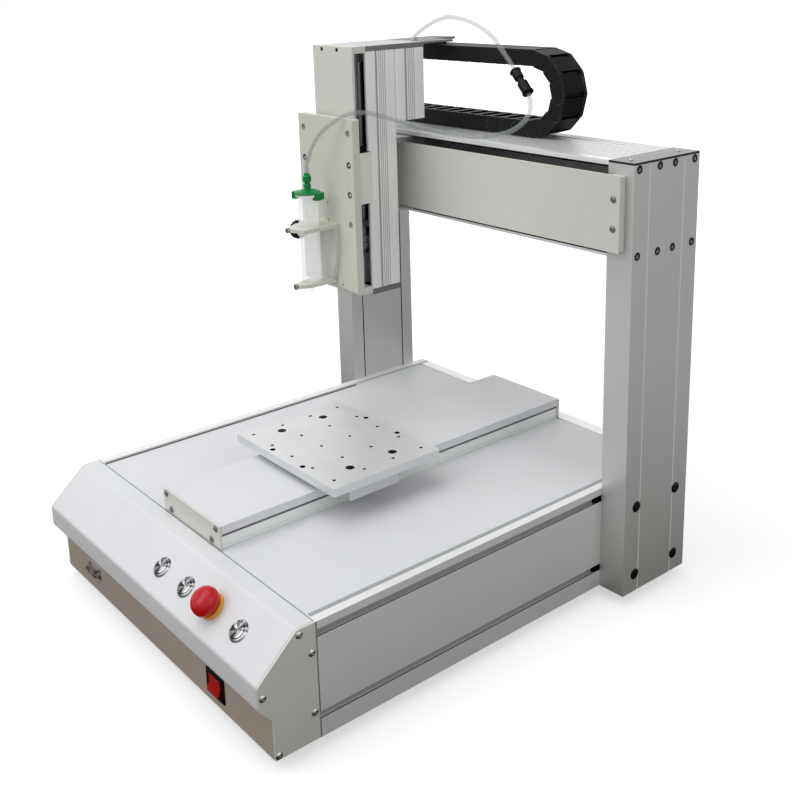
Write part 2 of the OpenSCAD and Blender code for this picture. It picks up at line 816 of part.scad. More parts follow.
module column_left() {
    color(alu) place() mirror([1, 0, 0]) column();
}

module column_caps() {
    color(steel) place() both_sides()
        box([side_x, col_y, gantry_h - col_cap_t], [side_x + col_t, col_y + col_d, gantry_h]);
}

module column_plugs() {
    color(dark) place() both_sides() for (y = [-plug_y, plug_y], z = plug_z)
        translate([side_x + col_t, col_mid + y, z]) {
        translate([-5, 0, 0]) rod_x(plug_r - 1, 5.5);
        rotate([0, 90, 0]) cylinder(r1 = plug_r, r2 = plug_r - 2.2, h = 1.4);
    }
}

module column_bolts() {
    color(steel) place() both_sides() for (y = bolt_y, z = [beam_z0 + 4, gantry_h - 7.5])
        translate([side_x + col_t - 5, col_mid + y, z]) rotate([0, 90, 0]) cap_screw(bolt_r, 4.8, 2.4, 29);
}

module beam_body() {
    color(alu) place() difference() {
        translate([-side_x, col_y, 0]) along_x(base_w) difference() {
            translate([0, beam_z0]) square([col_d, beam_h]);
            translate([-1, beam_z0 + beam_floor]) square([beam_in + 1, beam_h - beam_floor - beam_wall]);
            translate([beam_in + 5, beam_z0 + 8]) square([col_d - beam_in - 10, beam_h - 16]);
            for (y = [12:6:col_d - 8]) translate([y, gantry_h - 0.7]) square([2.2, 2]);
            translate([col_d - 22, gantry_h]) rotate(180) translate([0, 0]) tee_slot();
        }
        both_sides() for (y = bolt_y, z = [beam_z0 + 4, gantry_h - 7.5])
            translate([side_x - 12, col_mid + y, z]) rod_x(1.6, 13);
    }
}

module beam_cover() {
    x1 = side_x + cover_lap;
    color(cream) place() {
        box([-x1, col_y - cover_out, cover_z0], [x1, col_y - cover_out + cover_t, cover_z1]);
        both_sides() box([x1 - 17, col_y - cover_out + cover_t - e, cover_z0 + 1.5], [x1 - 1, col_y, cover_z1 - 1.5]);
    }
}

module x_screw() {
    color(steel) place() translate([-side_x + 38, x_screw_y, x_screw_z]) rotate([0, 90, 0])
        lead_screw(x_screw_end + side_x - 38, x_coupling, shaft_l / 2);
}

// The carriage rides inside the beam; its wings pass over and under the beam's cover and carry
// the plate that the Z module is bolted to
module x_carriage() {
    front = z_back;
    plate = z_back + 13;
    top_z = cover_z1 + wing_gap;
    color(alu) place() translate([head_x, 0, 0]) difference() {
        union() {
            box([-x_block_half, x_screw_y - 20, x_screw_z - 38], [x_block_half, col_y + beam_in - 2, x_screw_z + 38]);
            box([-x_block_half, x_screw_y - 20, beam_z0 + beam_floor + wing_gap],
                [x_block_half, x_screw_y - 8, gantry_h - beam_wall - wing_gap]);
            box([-x_car_half, front, top_z], [x_car_half, x_screw_y - 8, gantry_h - beam_wall - wing_gap]);
            box([-x_car_half, front, beam_z0 + beam_floor + wing_gap],
                [x_car_half, x_screw_y - 8, cover_z0 - wing_gap]);
            box([-x_car_half, front, beam_z0 + beam_floor + wing_gap],
                [x_car_half, plate, gantry_h - beam_wall - wing_gap]);
        }
        for (z = [-26, 26]) box([-30, col_y + beam_in - guide_h - 0.8, x_screw_z + z - guide_w / 2 - 0.8],
            [30, col_y + beam_in + 1, x_screw_z + z + guide_w / 2 + 0.8]);
        translate([-30, x_screw_y, x_screw_z]) rod_x(screw_r + bore_gap, 60);
    }
}

// Cross section of the Z extrusion, open to the front, with its walls' grooves
module z_section(open) {
    difference() {
        translate([-z_half, 0]) rounded([z_w, z_body_d], z_corner_r);
        if (open) translate([-z_half + z_wall, -1]) square([z_w - 2 * z_wall, z_body_d - z_floor + 1]);
        for (s = [-1, 1]) {
            translate([s * z_half, 15.5]) square([3, 3], center = true);
            for (y = [20:3:29]) translate([s * z_half, y]) rotate(45) square(1.1, center = true);
        }
    }
}

module z_body() {
    color(alu) place() translate([head_x, z_wall_y, z_body_z0]) linear_extrude(z_body_z1 - z_body_z0)
        z_section(true);
}

module z_rear_box() {
    color(alu) place() translate([head_x, z_back + z_box_gap, z_box_z]) linear_extrude(z_body_z1 - z_box_z)
        z_section(false);
}

module z_cover() {
    low = z_low + 2.5;
    color(cream) place() translate([head_x, 0, 0]) difference() {
        union() {
            box([-z_half, z_face, low], [z_half, z_face + z_cover_t, z_top]);
            both_sides() box([z_half - 1.5, z_face + z_cover_t - e, low], [z_half, z_face + 3.3, z_top]);
            box([-z_half, z_face + z_cover_t - e, z_top - 8], [z_half, z_wall_y, z_top]);
            box([-z_half, z_face + z_cover_t - e, low], [z_half, z_wall_y, z_body_z0 + 3]);
            box([-z_half, z_face + z_cover_t - e, z_body_z0], [z_half, z_screw_y - motor_w / 2 - 0.3, z_body_z0 + 4]);
        }
        for (x = [-21, 10], z = [z_top - 4, low + 5]) translate([x, z_face - 1, z]) rod_y(1.6, 8);
    }
}

// Aluminium end plates. The upper one runs back over the rear box and carries the chain's end
module z_end_plates() {
    box_back = z_back + z_box_gap + z_body_d;
    color(alu) place() translate([head_x, 0, 0]) {
        box([-z_half, z_wall_y, z_low], [z_half, z_back, z_body_z0]);
        box([-z_half, z_wall_y, z_body_z1], [z_half, box_back, z_top]);
    }
    color("dimgray") place() translate([head_x, 0, 0]) {
        box([-z_half, box_back, z_top - 3], [z_half, chain_y0 + 1, z_top]);
        box([-z_half, chain_y0, z_top - 3], [0, chain_y0 + chain_w, z_top]);
        box([-z_half + 1, chain_y0 + 3, chain_z1], [-z_half + 26, chain_y0 + chain_w - 3, z_top - 3 + e]);
    }
}

module z_rails() {
    color(steel) place() translate([head_x, z_back - z_floor, 0]) both_sides()
        box([22, -guide_h, z_body_z0 + 3], [22 + guide_w, 0, z_body_z1 - 3]);
}

z_motor_z = z_body_z0 + 4 + z_motor_l;
z_screw_z = z_motor_z + 19.5;
z_nut_low = z_screw_z + 23;

module z_motor() {
    color("dimgray") place() translate([head_x, z_screw_y, 0]) {
        translate([0, 0, z_motor_z]) stepper(z_motor_l);
        difference() {
            union() {
                box([-15, -14, z_nut_low - 8], [15, z_back - z_floor - z_screw_y, z_nut_low]);
                box([-15, -14, z_body_z1 - 14], [15, z_back - z_floor - z_screw_y, z_body_z1 - 4]);
            }
            translate([0, 0, z_screw_z]) cylinder(r = z_screw_r + bore_gap, h = z_body_z1 - z_screw_z);
        }
    }
}

module z_screw() {
    color(steel) place() translate([head_x, z_screw_y, 0]) {
        translate([0, 0, z_screw_z]) cylinder(r = z_screw_r, h = z_body_z1 - 4 - z_screw_z);
        translate([0, 0, z_motor_z - 30]) cylinder(r = shaft_r, h = z_screw_z - z_motor_z + 31);
    }
}

module z_coupling() {
    z0 = z_motor_z + 4;
    len = z_screw_z + 1.5 - z0;
    color(dark) place() translate([head_x, z_screw_y, z0]) difference() {
        union() {
            cylinder(r = coupling_r, h = 7.5);
            cylinder(r = coupling_r - 2, h = len);
            translate([0, 0, len - 7.5]) cylinder(r = coupling_r, h = 7.5);
        }
        translate([0, 0, -1]) cylinder(r = shaft_r, h = len + 1);
        translate([0, 0, z_screw_z - z0 - e]) cylinder(r = z_screw_r, h = 5);
    }
}

// The carriage rides in the module; its wings come out through the side slots and reach forward
module z_carriage() {
    color(white) place() translate([head_x, 0, 0]) difference() {
        union() {
            box([-28, wing_y0, wing_z0], [28, z_screw_y + 19, wing_z0 + wing_h]);
            box([-wing_x, wing_y0, wing_z0], [wing_x, wing_y1, wing_z0 + wing_h]);
            both_sides() box([z_half + 1, tool_y + tool_t, wing_z0], [wing_x, wing_y1, wing_z0 + wing_h]);
        }
        translate([0, z_screw_y, 0]) cylinder(r = z_screw_r + bore_gap, h = z_top);
        both_sides() box([22 - 0.8, z_back - z_floor - guide_h - 0.8, 0], [22 + guide_w + 0.8, z_back, z_top]);
        both_sides() for (z = [tool_bolt_z[1], tool_bolt_z[2]]) translate([tool_bolt_x, 0, tool_z + z])
            rod_y(1.7, tool_y + tool_t + 12);
    }
}

module tool_plate() {
    color(cream) place() translate([head_x, tool_y, tool_z]) difference() {
        translate([-tool_w / 2, 0, 0]) along_y(tool_t) rounded([tool_w, tool_h], 1.5);
        both_sides() for (z = tool_bolt_z) {
            translate([tool_bolt_x, -1, z]) rod_y(2.3, tool_t + 2);
            translate([tool_bolt_x, -1, z]) rod_y(4.3, 6);
        }
        for (z = [85, 106.5]) translate([0, -1, z]) rod_y(1.5, tool_t + 2);
        for (x = [-26, 0, 26]) translate([x, -1, 5]) rod_y(1.5, tool_t + 2);
        for (z = [16, 66]) translate([0, -1, z]) rod_y(1.7, tool_t + 2);
    }
}

module tool_bolts() {
    color(steel) place() translate([head_x, 0, 0]) {
        both_sides() for (z = [tool_bolt_z[1], tool_bolt_z[2]])
            translate([tool_bolt_x, tool_y + 4.7, tool_z + z]) rotate([90, 0, 0]) cap_screw(3.9, 3.9, 1.5, 14);
        translate([high_tip[0], barrel_y + high_tip[1], arm_high_z + arm_t / 2]) rotate([90, 0, 0])
            cap_screw(3.4, 3, 1.3, 6);
        translate([low_tip[0], barrel_y + low_tip[1], arm_low_z + arm_t / 2]) rotate([90, 0, 0])
            cap_screw(3.8, 3, 1.3, 6);
    }
}

// Bracket: a back plate with a chamfered corner, two flat arms with a small screw at the tip of
// each, a raised ring round the barrel and an ear for the clamp knob
module syringe_arm(z, outline, hole_r) {
    translate([0, 0, z]) linear_extrude(arm_t) difference() {
        translate([0, barrel_y]) polygon(outline);
        translate([0, barrel_y]) circle(hole_r);
    }
}

module syringe_bracket() {
    back = tool_y - barrel_y - 1;
    color(white) place() translate([head_x, 0, 0]) difference() {
        union() {
            translate([0, tool_y - 6.5, 0]) along_y(6.5) polygon([[-bracket_left, arm_low_z],
                [low_half - 1.5, arm_low_z], [low_half - 1.5, arm_low_z + arm_t], [bracket_right, arm_low_z + 32],
                [bracket_right, arm_high_z + arm_t], [-bracket_left, arm_high_z + arm_t]]);
            syringe_arm(arm_high_z, [[bracket_right, back], [bracket_right, 8 + high_tip[1]],
                high_tip + [3, 0], high_tip - [3, 0], [-bracket_left, -9], [-bracket_left, back]], barrel_r + 0.3);
            syringe_arm(arm_low_z, [[low_half, back], [low_half, -11], low_tip + [6, 2.5], low_tip + [3, 0],
                low_tip - [3, 0], [-6, -15], [-low_half + 2, -4], [-low_half + 2, back]], nozzle_r);
            translate([0, barrel_y, arm_high_z + 1]) cylinder(r = barrel_r + 3.6, h = arm_t - 0.2);
            box([-bracket_left, barrel_y - 6, knob_z - 5.5], [1 - barrel_r, barrel_y + 6, arm_high_z + 1]);
        }
        translate([0, barrel_y, knob_z - 7]) cylinder(r = barrel_r + 0.3, h = 20);
        translate([-bracket_left - 1, barrel_y, knob_z]) rod_x(2.55, 6);
        translate([high_tip[0], barrel_y + high_tip[1] - 1, arm_high_z + arm_t / 2]) rod_y(1.35, 8);
        translate([low_tip[0], barrel_y + low_tip[1] - 1, arm_low_z + arm_t / 2]) rod_y(1.35, 8);
    }
}

module syringe_barrel() {
    r = barrel_r;
    w = barrel_wall;
    color("lightcyan", 0.5) place() translate([head_x, barrel_y, 0]) rotate_extrude(convexity = 4)
        polygon([[r - w, barrel_z1 + 3], [r - w, barrel_z0], [r * 0.4, barrel_z0 - 3], [1.4, barrel_z0 - 6],
            [1.2, tip_z], [2.2, tip_z], [2.4, barrel_z0 - 9], [4.6, barrel_z0 - 8.5], [4.6, barrel_z0 - 6],
            [7, barrel_z0 - 4.6], [9.5, barrel_z0 - 3.2], [r - 0.8, barrel_z0 - 1.6], [r, barrel_z0],
            [r, barrel_z1], [r + 2.5, barrel_z1], [r + 2.5, barrel_z1 + 3]]);
}

// Cap with a flat lid over the barrel's flange, two hooks that grip under it and a ringed neck
module syringe_cap() {
    color("green") place() translate([head_x, barrel_y, cap_z]) difference() {
        union() {
            rotate_extrude() polygon([[0, 0], [barrel_r + 3.5, 0], [barrel_r + 3.5, 1.4],
                [barrel_r + 2.5, 2.5], [7, 5.2], [4.4, 6], [3.7, 7], [4.7, 7.6], [4.7, 10.6],
                [3.5, 11.8], [3.5, 14], [5.2, 14.8], [5.2, 21], [3.6, 22.6],
                [3.6, tube_end_z - cap_z], [0, tube_end_z - cap_z]]);
            rotate(21) translate([-barrel_r - 7, -6.5, -7]) cube([2 * barrel_r + 14, 13, 9]);
        }
        translate([0, 0, -3.6]) cylinder(r = barrel_r + 2.8, h = 3.6);
        translate([0, 0, -8]) cylinder(r = barrel_r + 0.4, h = 5);
        translate([0, 0, -1]) cylinder(r = 1.6, h = 60);
    }
}

module clamp_knob() {
    color(dark) place() translate([head_x - bracket_left, barrel_y, knob_z]) {
        translate([-9, 0, 0]) rod_x(2.5, 12.5);
        translate([-9.5, 0, 0]) difference() {
            rod_x(11.8, 7);
            for (a = [0:20:340]) rotate([a, 0, 0]) translate([-1, 0, 12]) rod_x(0.9, 9, $fn = 16);
        }
    }
}

// One chain link. Its pins are at the origin and at x = len, and its outer side faces +z. Each side
// has two layers: the outer layer ends in a round lug at the far pin, and the inner layer in one at
// the near pin, so that it lies inside the outer lug of the link before it.
module link_layer(len) {
    r = link_h / 2;
    difference() {
        union() {
            polygon([[0, 0], [0, r], [len, r], [len, -r], [corner, -r]]);
            translate([len, 0]) circle(r);
        }
        circle(r + lug_gap);
    }
}

module chain_link(len) {
    r = link_h / 2;
    inner_y = layer_t + lug_play;
    slat_y = inner_y + layer_t;
    for (y = [0, chain_w - layer_t]) translate([0, y, 0]) along_y(layer_t) link_layer(len);
    for (y = [inner_y, chain_w - slat_y]) translate([len, y, 0]) along_y(layer_t)
        mirror([1, 0]) link_layer(len);
    for (y = [0.4, chain_w - slat_y + 0.4], z = [0.4 - r, r - slat_t]) translate([bridge, y, z])
        cube([len - 2 * bridge, slat_y - 0.8, slat_t - 0.4]);
    box([slat_gap, slat_y + lug_play, r - slat_t], [len - slat_gap, chain_w - slat_y - lug_play, r - 0.2]);
    box([slat_gap + 1, slat_y - 0.4, r - slat_t], [len - corner, chain_w - slat_y + 0.4, r - 0.2]);
    box([len / 2 - rib_half, slat_y - 0.4, 0.2 - r], [len / 2 + rib_half, chain_w - slat_y + 0.4, slat_t - r]);
    translate([len, slat_y + 0.3, 0]) along_y(chain_w - 2 * slat_y - 0.6) link_lip();
}

// Curved lip round the far pin that closes the gap to the next link's slat in the bend
module link_lip() {
    intersection() {
        difference() {
            circle(lip_r);
            circle(lip_r - lip_t);
        }
        polygon([[0, 0], [-8, 15], [15, 15]]);
    }
    translate([-3, lip_r - 1]) square([1.8, link_h / 2 - slat_t + 1.2 - lip_r]);
}

module link_pin() {
    for (y = [0.3, chain_w - 2 * layer_t]) translate([0, y, 0]) rod_y(pin_r, 2 * layer_t - 0.3);
}

// End piece from a pin at the origin to x = len, with its lugs at lug_y from each side
module chain_tail(len, lug_y) {
    r = link_h / 2;
    for (y = [lug_y, chain_w - layer_t - lug_y]) translate([0, y, 0]) along_y(layer_t) {
        circle(r);
        translate([0, 0.1 - r]) square([r + 2, link_h - 0.2]);
    }
    difference() {
        box([r + lug_gap, 0, -r], [len, chain_w, r]);
        box([0, 2 * layer_t, slat_t - r], [len + 1, chain_w - 2 * layer_t, r + 1]);
    }
}

module chain_upper() {
    n = floor((bend_x - upper_x0 - 14) / link_pitch);
    color(dark) place() translate([bend_x, chain_y0, chain_z1 - link_h / 2]) {
        for (i = [1:n]) translate([-i * link_pitch, 0, 0]) {
            chain_link(link_pitch);
            link_pin();
        }
        translate([-n * link_pitch, 0, 0]) mirror([1, 0, 0])
            chain_tail(bend_x - upper_x0 - n * link_pitch, 0);
    }
}

module chain_lower() {
    n = floor((bend_x - lower_x0 - 14) / link_pitch);
    color(dark) place() {
        translate([bend_x, chain_y0, chain_z0 + link_h / 2]) rotate([0, 180, 0]) {
            for (i = [1:n]) translate([i * link_pitch, 0, 0]) {
                translate([-link_pitch, 0, 0]) chain_link(link_pitch);
                link_pin();
            }
            translate([n * link_pitch, 0, 0])
                chain_tail(bend_x - lower_x0 - n * link_pitch, layer_t + lug_play);
        }
        box([lower_x0, chain_y0 + 4, gantry_h], [lower_x0 + 16, chain_y0 + chain_w - 4, chain_z0 + 1]);
    }
}

// Links of a quarter of the bend, from angle a0 down; the half circle has bend_n links
module chain_bend(a0) {
    step = 180 / bend_n;
    r = bend_r - link_h / 2;
    color(dark) place() translate([bend_x, chain_y0, bend_z]) for (i = [0:bend_n / 2 - 1])
        rotate([0, i * step - a0, 0]) translate([r, 0, 0]) {
            rotate([0, 90 + step / 2, 0]) chain_link(2 * r * sin(step / 2));
            if (i > 0) link_pin();
        }
}

module chain_bend_upper() {
    chain_bend(90);
}

module chain_bend_lower() {
    chain_bend(0);
}

// Points of a smooth curve through a route, with n steps to a span
function knot(p, i) = p[min(max(i, 0), len(p) - 1)];
function curve_at(a, b, c, d, t) = 0.5 * (2 * b + (c - a) * t + (2 * a - 5 * b + 4 * c - d) * t * t
    + (3 * b - a - 3 * c + d) * t * t * t);
function curve(p, n) = concat([for (i = [0:len(p) - 2], k = [0:n - 1])
    curve_at(knot(p, i - 1), knot(p, i), knot(p, i + 1), knot(p, i + 2), k / n)], [p[len(p) - 1]]);
function ring(c, t, r, n) = let (u = unit(cross(t, [0, 1, 0])), v = cross(t, u))
    [for (k = [0:n - 1]) c + r * (u * cos(360 * k / n) + v * sin(360 * k / n))];

// Tube of n sides swept along points
module sweep(path, r, n) {
    last = len(path) - 1;
    rings = [for (i = [0:last]) each ring(path[i],
        unit(path[min(i + 1, last)] - path[max(i - 1, 0)]), r, n)];
    sides = [for (i = [0:last - 1], k = [0:n - 1])
        [i * n + k, i * n + (k + 1) % n, (i + 1) * n + (k + 1) % n, (i + 1) * n + k]];
    caps = [[for (k = [n - 1:-1:0]) k], [for (k = [0:n - 1]) last * n + k]];
    polyhedron(points = rings, faces = concat(sides, caps));
}

module air_tube() {
    color("ghostwhite", 0.6) place() {
        sweep(curve(tube_a, 2), tube_d / 2, 10);
        sweep(curve(tube_b, 2), tube_d / 2, 10);
    }
}

// Collar on the head's top and the two part inline connector
module tube_fittings() {
    run = joint_b - joint_a;
    color(dark) place() {
        translate([fitting_at[0], fitting_at[1], z_top]) cylinder(r = 4, h = 4);
        translate(joint_a) rotate([0, acos(run[2] / norm(run)), atan2(run[1], run[0])]) {
            cylinder(r = 4.2, h = norm(run));
            translate([0, 0, 0.8]) cylinder(r = 7, h = 1.6);
            translate([0, 0, 0.8]) cylinder(r = 5.9, h = 12.5);
            translate([0, 0, norm(run) - 18]) cylinder(r = 6.3, h = 15);
            translate([0, 0, norm(run) - 3.4]) cylinder(r = 7.2, h = 1.6);
        }
    }
}

base_sides();
rear_panel();
bottom_plate();
deck_plates();
console_cover();
console_ends();
case_screws();
feet();
switch_frame();
switch_rocker();
data_port();
button_bezels();
button_cap_left();
button_cap_middle();
button_cap_right();
estop_collar();
estop_stem();
estop_head();
electronics();
power_inlet();
y_body();
y_cover();
y_end_plates();
guide_rails();
screw_supports();
axis_motors();
y_screw();
y_carriage();
table_plate();
table_bolts();
column_left();
column_right();
column_caps();
column_plugs();
column_bolts();
beam_body();
beam_cover();
x_screw();
x_carriage();
z_body();
z_rear_box();
z_cover();
z_end_plates();
z_rails();
z_screw();
z_coupling();
z_motor();
z_carriage();
tool_plate();
tool_bolts();
syringe_bracket();
syringe_barrel();
syringe_cap();
clamp_knob();
chain_upper();
chain_bend_upper();
chain_bend_lower();
chain_lower();
air_tube();
tube_fittings();
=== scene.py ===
"""Looks of a desktop glue dispensing robot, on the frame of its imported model.

Lengths are metres in the part's frame: X to the operator's right, Y to the back, Z up, and the
feet stand on Z = 0. Boxes of second finishes, profiles, and sizes that say so are millimetres,
and the boxes lie in the base frame, whose origin is BASE_SHIFT.
"""

import json
import logging
import math
from collections.abc import Sequence
from dataclasses import Field, dataclass, field
from enum import Enum

import bpy
from bpy.types import Material, MeshPolygon, Node, NodeSocket, NodeTree, Object
from mathutils import Matrix, Vector

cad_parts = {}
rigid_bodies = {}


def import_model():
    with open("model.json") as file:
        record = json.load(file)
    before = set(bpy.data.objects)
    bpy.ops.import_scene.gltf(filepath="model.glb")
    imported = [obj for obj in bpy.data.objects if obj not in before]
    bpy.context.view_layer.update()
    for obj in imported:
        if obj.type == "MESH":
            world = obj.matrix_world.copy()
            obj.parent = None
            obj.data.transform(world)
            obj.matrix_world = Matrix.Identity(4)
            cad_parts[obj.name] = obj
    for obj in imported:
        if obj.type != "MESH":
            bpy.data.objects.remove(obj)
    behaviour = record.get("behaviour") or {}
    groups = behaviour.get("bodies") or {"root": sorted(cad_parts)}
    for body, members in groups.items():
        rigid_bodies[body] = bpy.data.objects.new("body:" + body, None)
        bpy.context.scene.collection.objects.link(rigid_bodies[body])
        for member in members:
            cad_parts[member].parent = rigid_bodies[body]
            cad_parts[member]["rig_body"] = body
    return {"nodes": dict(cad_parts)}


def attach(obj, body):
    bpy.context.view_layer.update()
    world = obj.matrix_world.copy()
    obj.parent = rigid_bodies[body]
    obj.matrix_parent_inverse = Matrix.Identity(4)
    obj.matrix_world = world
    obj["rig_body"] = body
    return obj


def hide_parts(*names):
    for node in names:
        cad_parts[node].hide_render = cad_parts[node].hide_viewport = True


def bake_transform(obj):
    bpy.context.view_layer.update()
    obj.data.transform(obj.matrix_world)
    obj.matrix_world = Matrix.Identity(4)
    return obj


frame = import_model()

log = logging.getLogger("dispenser")
MM = 0.001
# Where the base frame's origin lies in the part's frame
BASE_SHIFT = Vector((0.0, -0.2825, 0.012))
TO_OPERATOR = Vector((0, -1, 0))
UP = Vector((0, 0, 1))
# X of the head's middle, which is the lead screw's and the syringe's too
HEAD_X = -112.0

Point = tuple[float, float, float]
# Radius and height of each ring of a turned piece, from the foot up, in millimetres
Profile = Sequence[tuple[float, float]]


def at(x: float, y: float, z: float) -> Vector:
    """Turns a point of the base frame, in millimetres, into the part's frame in metres."""
    return Vector((x, y, z)) * MM + BASE_SHIFT


def body_of(node: str) -> str:
    """Returns the body that a node of the frame rides on."""
    return frame["nodes"][node]["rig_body"]


def given(table: dict) -> Field:
    """Returns a dataclass field that starts with its own copy of a table."""
    return field(default_factory=lambda: dict(table))


def linear(hex_code: str) -> tuple[float, float, float, float]:
    """Turns an sRGB hex colour into linear values, by the two parts of the standard's curve.

    Args:
        hex_code: Six hex digits.

    Returns:
        Linear red, green, blue and an alpha of 1.
    """
    parts = [int(hex_code[i:i + 2], 16) / 255 for i in (0, 2, 4)]
    red, green, blue = [v / 12.92 if v <= 0.04045 else ((v + 0.055) / 1.055) ** 2.4 for v in parts]
    return red, green, blue, 1.0


def add_node(tree: NodeTree, kind: str, settings: dict | None = None, inputs: dict | None = None) -> Node:
    """Adds one node with its settings, values and links.

    Args:
        tree: Node tree that takes the node.
        kind: Node type without its ShaderNode prefix.
        settings: Attributes of the node.
        inputs: Values or output sockets by input name or number.

    Returns:
        The new node.
    """
    made = tree.nodes.new("ShaderNode" + kind)
    for key, value in (settings or {}).items():
        setattr(made, key, value)
    for key, value in (inputs or {}).items():
        if isinstance(value, NodeSocket):
            tree.links.new(value, made.inputs[key])
        else:
            made.inputs[key].default_value = value
    return made


class Axis(Enum):
    """Axis of the part's frame, by its number."""

    X = 0
    Y = 1
    Z = 2


@dataclass(frozen=True)
class Finish:
    """Base of all finishes: one principled surface with a pattern of its own."""

    name: str
    color: str
    roughness: float = 0.5
    metallic: float = 0.0
    coat: float = 0.0
    specular: float = 0.5

    def material(self) -> Material:
        """Makes the finish's material at its first use.

        Returns:
            The material.
        """
        found = bpy.data.materials.get(self.name)
        if found:
            return found
        made = bpy.data.materials.new(self.name)
        made.use_nodes = True
        made.diffuse_color = linear(self.color)
        tree = made.node_tree
        tree.nodes.clear()
        shader = add_node(tree, "BsdfPrincipled", inputs={
            "Roughness": self.roughness, "Metallic": self.metallic, "Coat Weight": self.coat,
            "Specular IOR Level": self.specular, "Base Color": linear(self.color)})
        add_node(tree, "OutputMaterial", inputs={"Surface": shader.outputs[0]})
        self.pattern(shader)
        return made

    def pattern(self, shader: Node) -> None:
        """Adds the finish's own pattern; the base has none."""

    def place(self, tree: NodeTree, scale: Sequence[float] = (1, 1, 1), centre: Point = (0, 0, 0),
              turn: Point = (0, 0, 0)) -> NodeSocket:
        """Moves object coordinates to a centre, then turns and scales them.

        Args:
            tree: Node tree of the material.
            scale: Factors on the coordinates.
            centre: Point that becomes the origin.
            turn: Turn of the axes, in radians.

        Returns:
            The placed coordinates.
        """
        coords = add_node(tree, "TexCoord").outputs["Object"]
        mapped = add_node(tree, "Mapping", {"vector_type": "TEXTURE"}, {
            "Vector": coords, "Location": centre, "Rotation": turn})
        return add_node(tree, "Mapping", {"vector_type": "POINT"}, {
            "Vector": mapped.outputs[0], "Scale": scale}).outputs[0]

    def tint(self, shader: Node, factor: NodeSocket, dark: float, light: float,
             low: float = 0.3, high: float = 0.7) -> None:
        """Varies the base colour between two levels of itself.

        Args:
            shader: Principled shader that takes the colour.
            factor: Pattern from 0 to 1.
            dark: Level of the colour at low.
            light: Level of the colour at high.
            low: Pattern value of the dark level.
            high: Pattern value of the light level.
        """
        tree, rgb = shader.id_data, linear(self.color)
        ramp = add_node(tree, "ValToRGB", inputs={"Fac": factor})
        for stop, place, level in zip(ramp.color_ramp.elements, (low, high), (dark, light)):
            stop.position = place
            stop.color = tuple(min(1.0, c * level) for c in rgb[:3]) + (1.0,)
        tree.links.new(ramp.outputs[0], shader.inputs["Base Color"])

    def rough(self, shader: Node, factor: NodeSocket, low: float, high: float) -> None:
        """Spreads the roughness between two values along a pattern.

        Args:
            shader: Principled shader that takes the roughness.
            factor: Pattern from 0 to 1.
            low: Roughness at 0.
            high: Roughness at 1.
        """
        tree = shader.id_data
        spread = add_node(tree, "MapRange", inputs={"Value": factor, "To Min": low, "To Max": high})
        tree.links.new(spread.outputs[0], shader.inputs["Roughness"])

    def bump(self, shader: Node, height: NodeSocket, depth_mm: float, strength: float = 1.0) -> None:
        """Raises the surface by a pattern.

        Args:
            shader: Principled shader that takes the normal.
            height: Pattern from 0 to 1.
            depth_mm: Height of the pattern.
            strength: Share of the bump that is used.
        """
        tree = shader.id_data
        made = add_node(tree, "Bump", inputs={
            "Height": height, "Distance": depth_mm * MM, "Strength": strength})
        tree.links.new(made.outputs[0], shader.inputs["Normal"])


@dataclass(frozen=True)
class PowderCoat(Finish):
    """Baked powder coat on sheet metal: a fine orange peel that breaks up its soft sheen."""

    peel_mm: float = 1.6
    depth_mm: float = 0.04

    def pattern(self, shader: Node) -> None:
        """Adds orange peel and a faint cloudiness of the colour.

        Args:
            shader: Principled shader of the material.
        """
        tree = shader.id_data
        coords = self.place(tree)
        peel = add_node(tree, "TexNoise", inputs={
            "Vector": coords, "Scale": 1 / (self.peel_mm * MM), "Detail": 2.0, "Roughness": 0.55})
        cloud = add_node(tree, "TexNoise", inputs={"Vector": coords, "Scale": 9.0, "Detail": 4.0})
        self.tint(shader, cloud.outputs[0], dark=0.965, light=1.015)
        self.rough(shader, cloud.outputs[0], self.roughness - 0.06, self.roughness + 0.06)
        self.bump(shader, peel.outputs[0], self.depth_mm)


@dataclass(frozen=True)
class DrawnAluminium(Finish):
    """Anodised aluminium extrusion: a satin metal with faint lines along the draw direction."""

    along: Axis = Axis.Y
    line_mm: float = 0.9
    # How much of the tone follows the lines; the rest follows clouds
    line_share: float = 0.6

    def pattern(self, shader: Node) -> None:
        """Adds die lines, which are drawn about three times coarser than real to show.

        Args:
            shader: Principled shader of the material.
        """
        tree = shader.id_data
        scale = [1 / (self.line_mm * MM)] * 3
        scale[self.along.value] = 1.2
        lines = add_node(tree, "TexNoise", inputs={
            "Vector": self.place(tree, scale), "Scale": 1.0, "Detail": 3.0, "Roughness": 0.7})
        cloud = add_node(tree, "TexNoise", inputs={
            "Vector": self.place(tree), "Scale": 7.0, "Detail": 3.0})
        share = add_node(tree, "Math", {"operation": "MULTIPLY"}, {0: lines.outputs[0], 1: self.line_share})
        both = add_node(tree, "Math", {"operation": "MULTIPLY_ADD"}, {
            0: cloud.outputs[0], 1: 1 - self.line_share, 2: share.outputs[0]})
        self.tint(shader, both.outputs[0], dark=0.955, light=1.03)
        self.rough(shader, lines.outputs[0], self.roughness - 0.07, self.roughness + 0.07)
        self.bump(shader, lines.outputs[0], 0.01, 0.6)


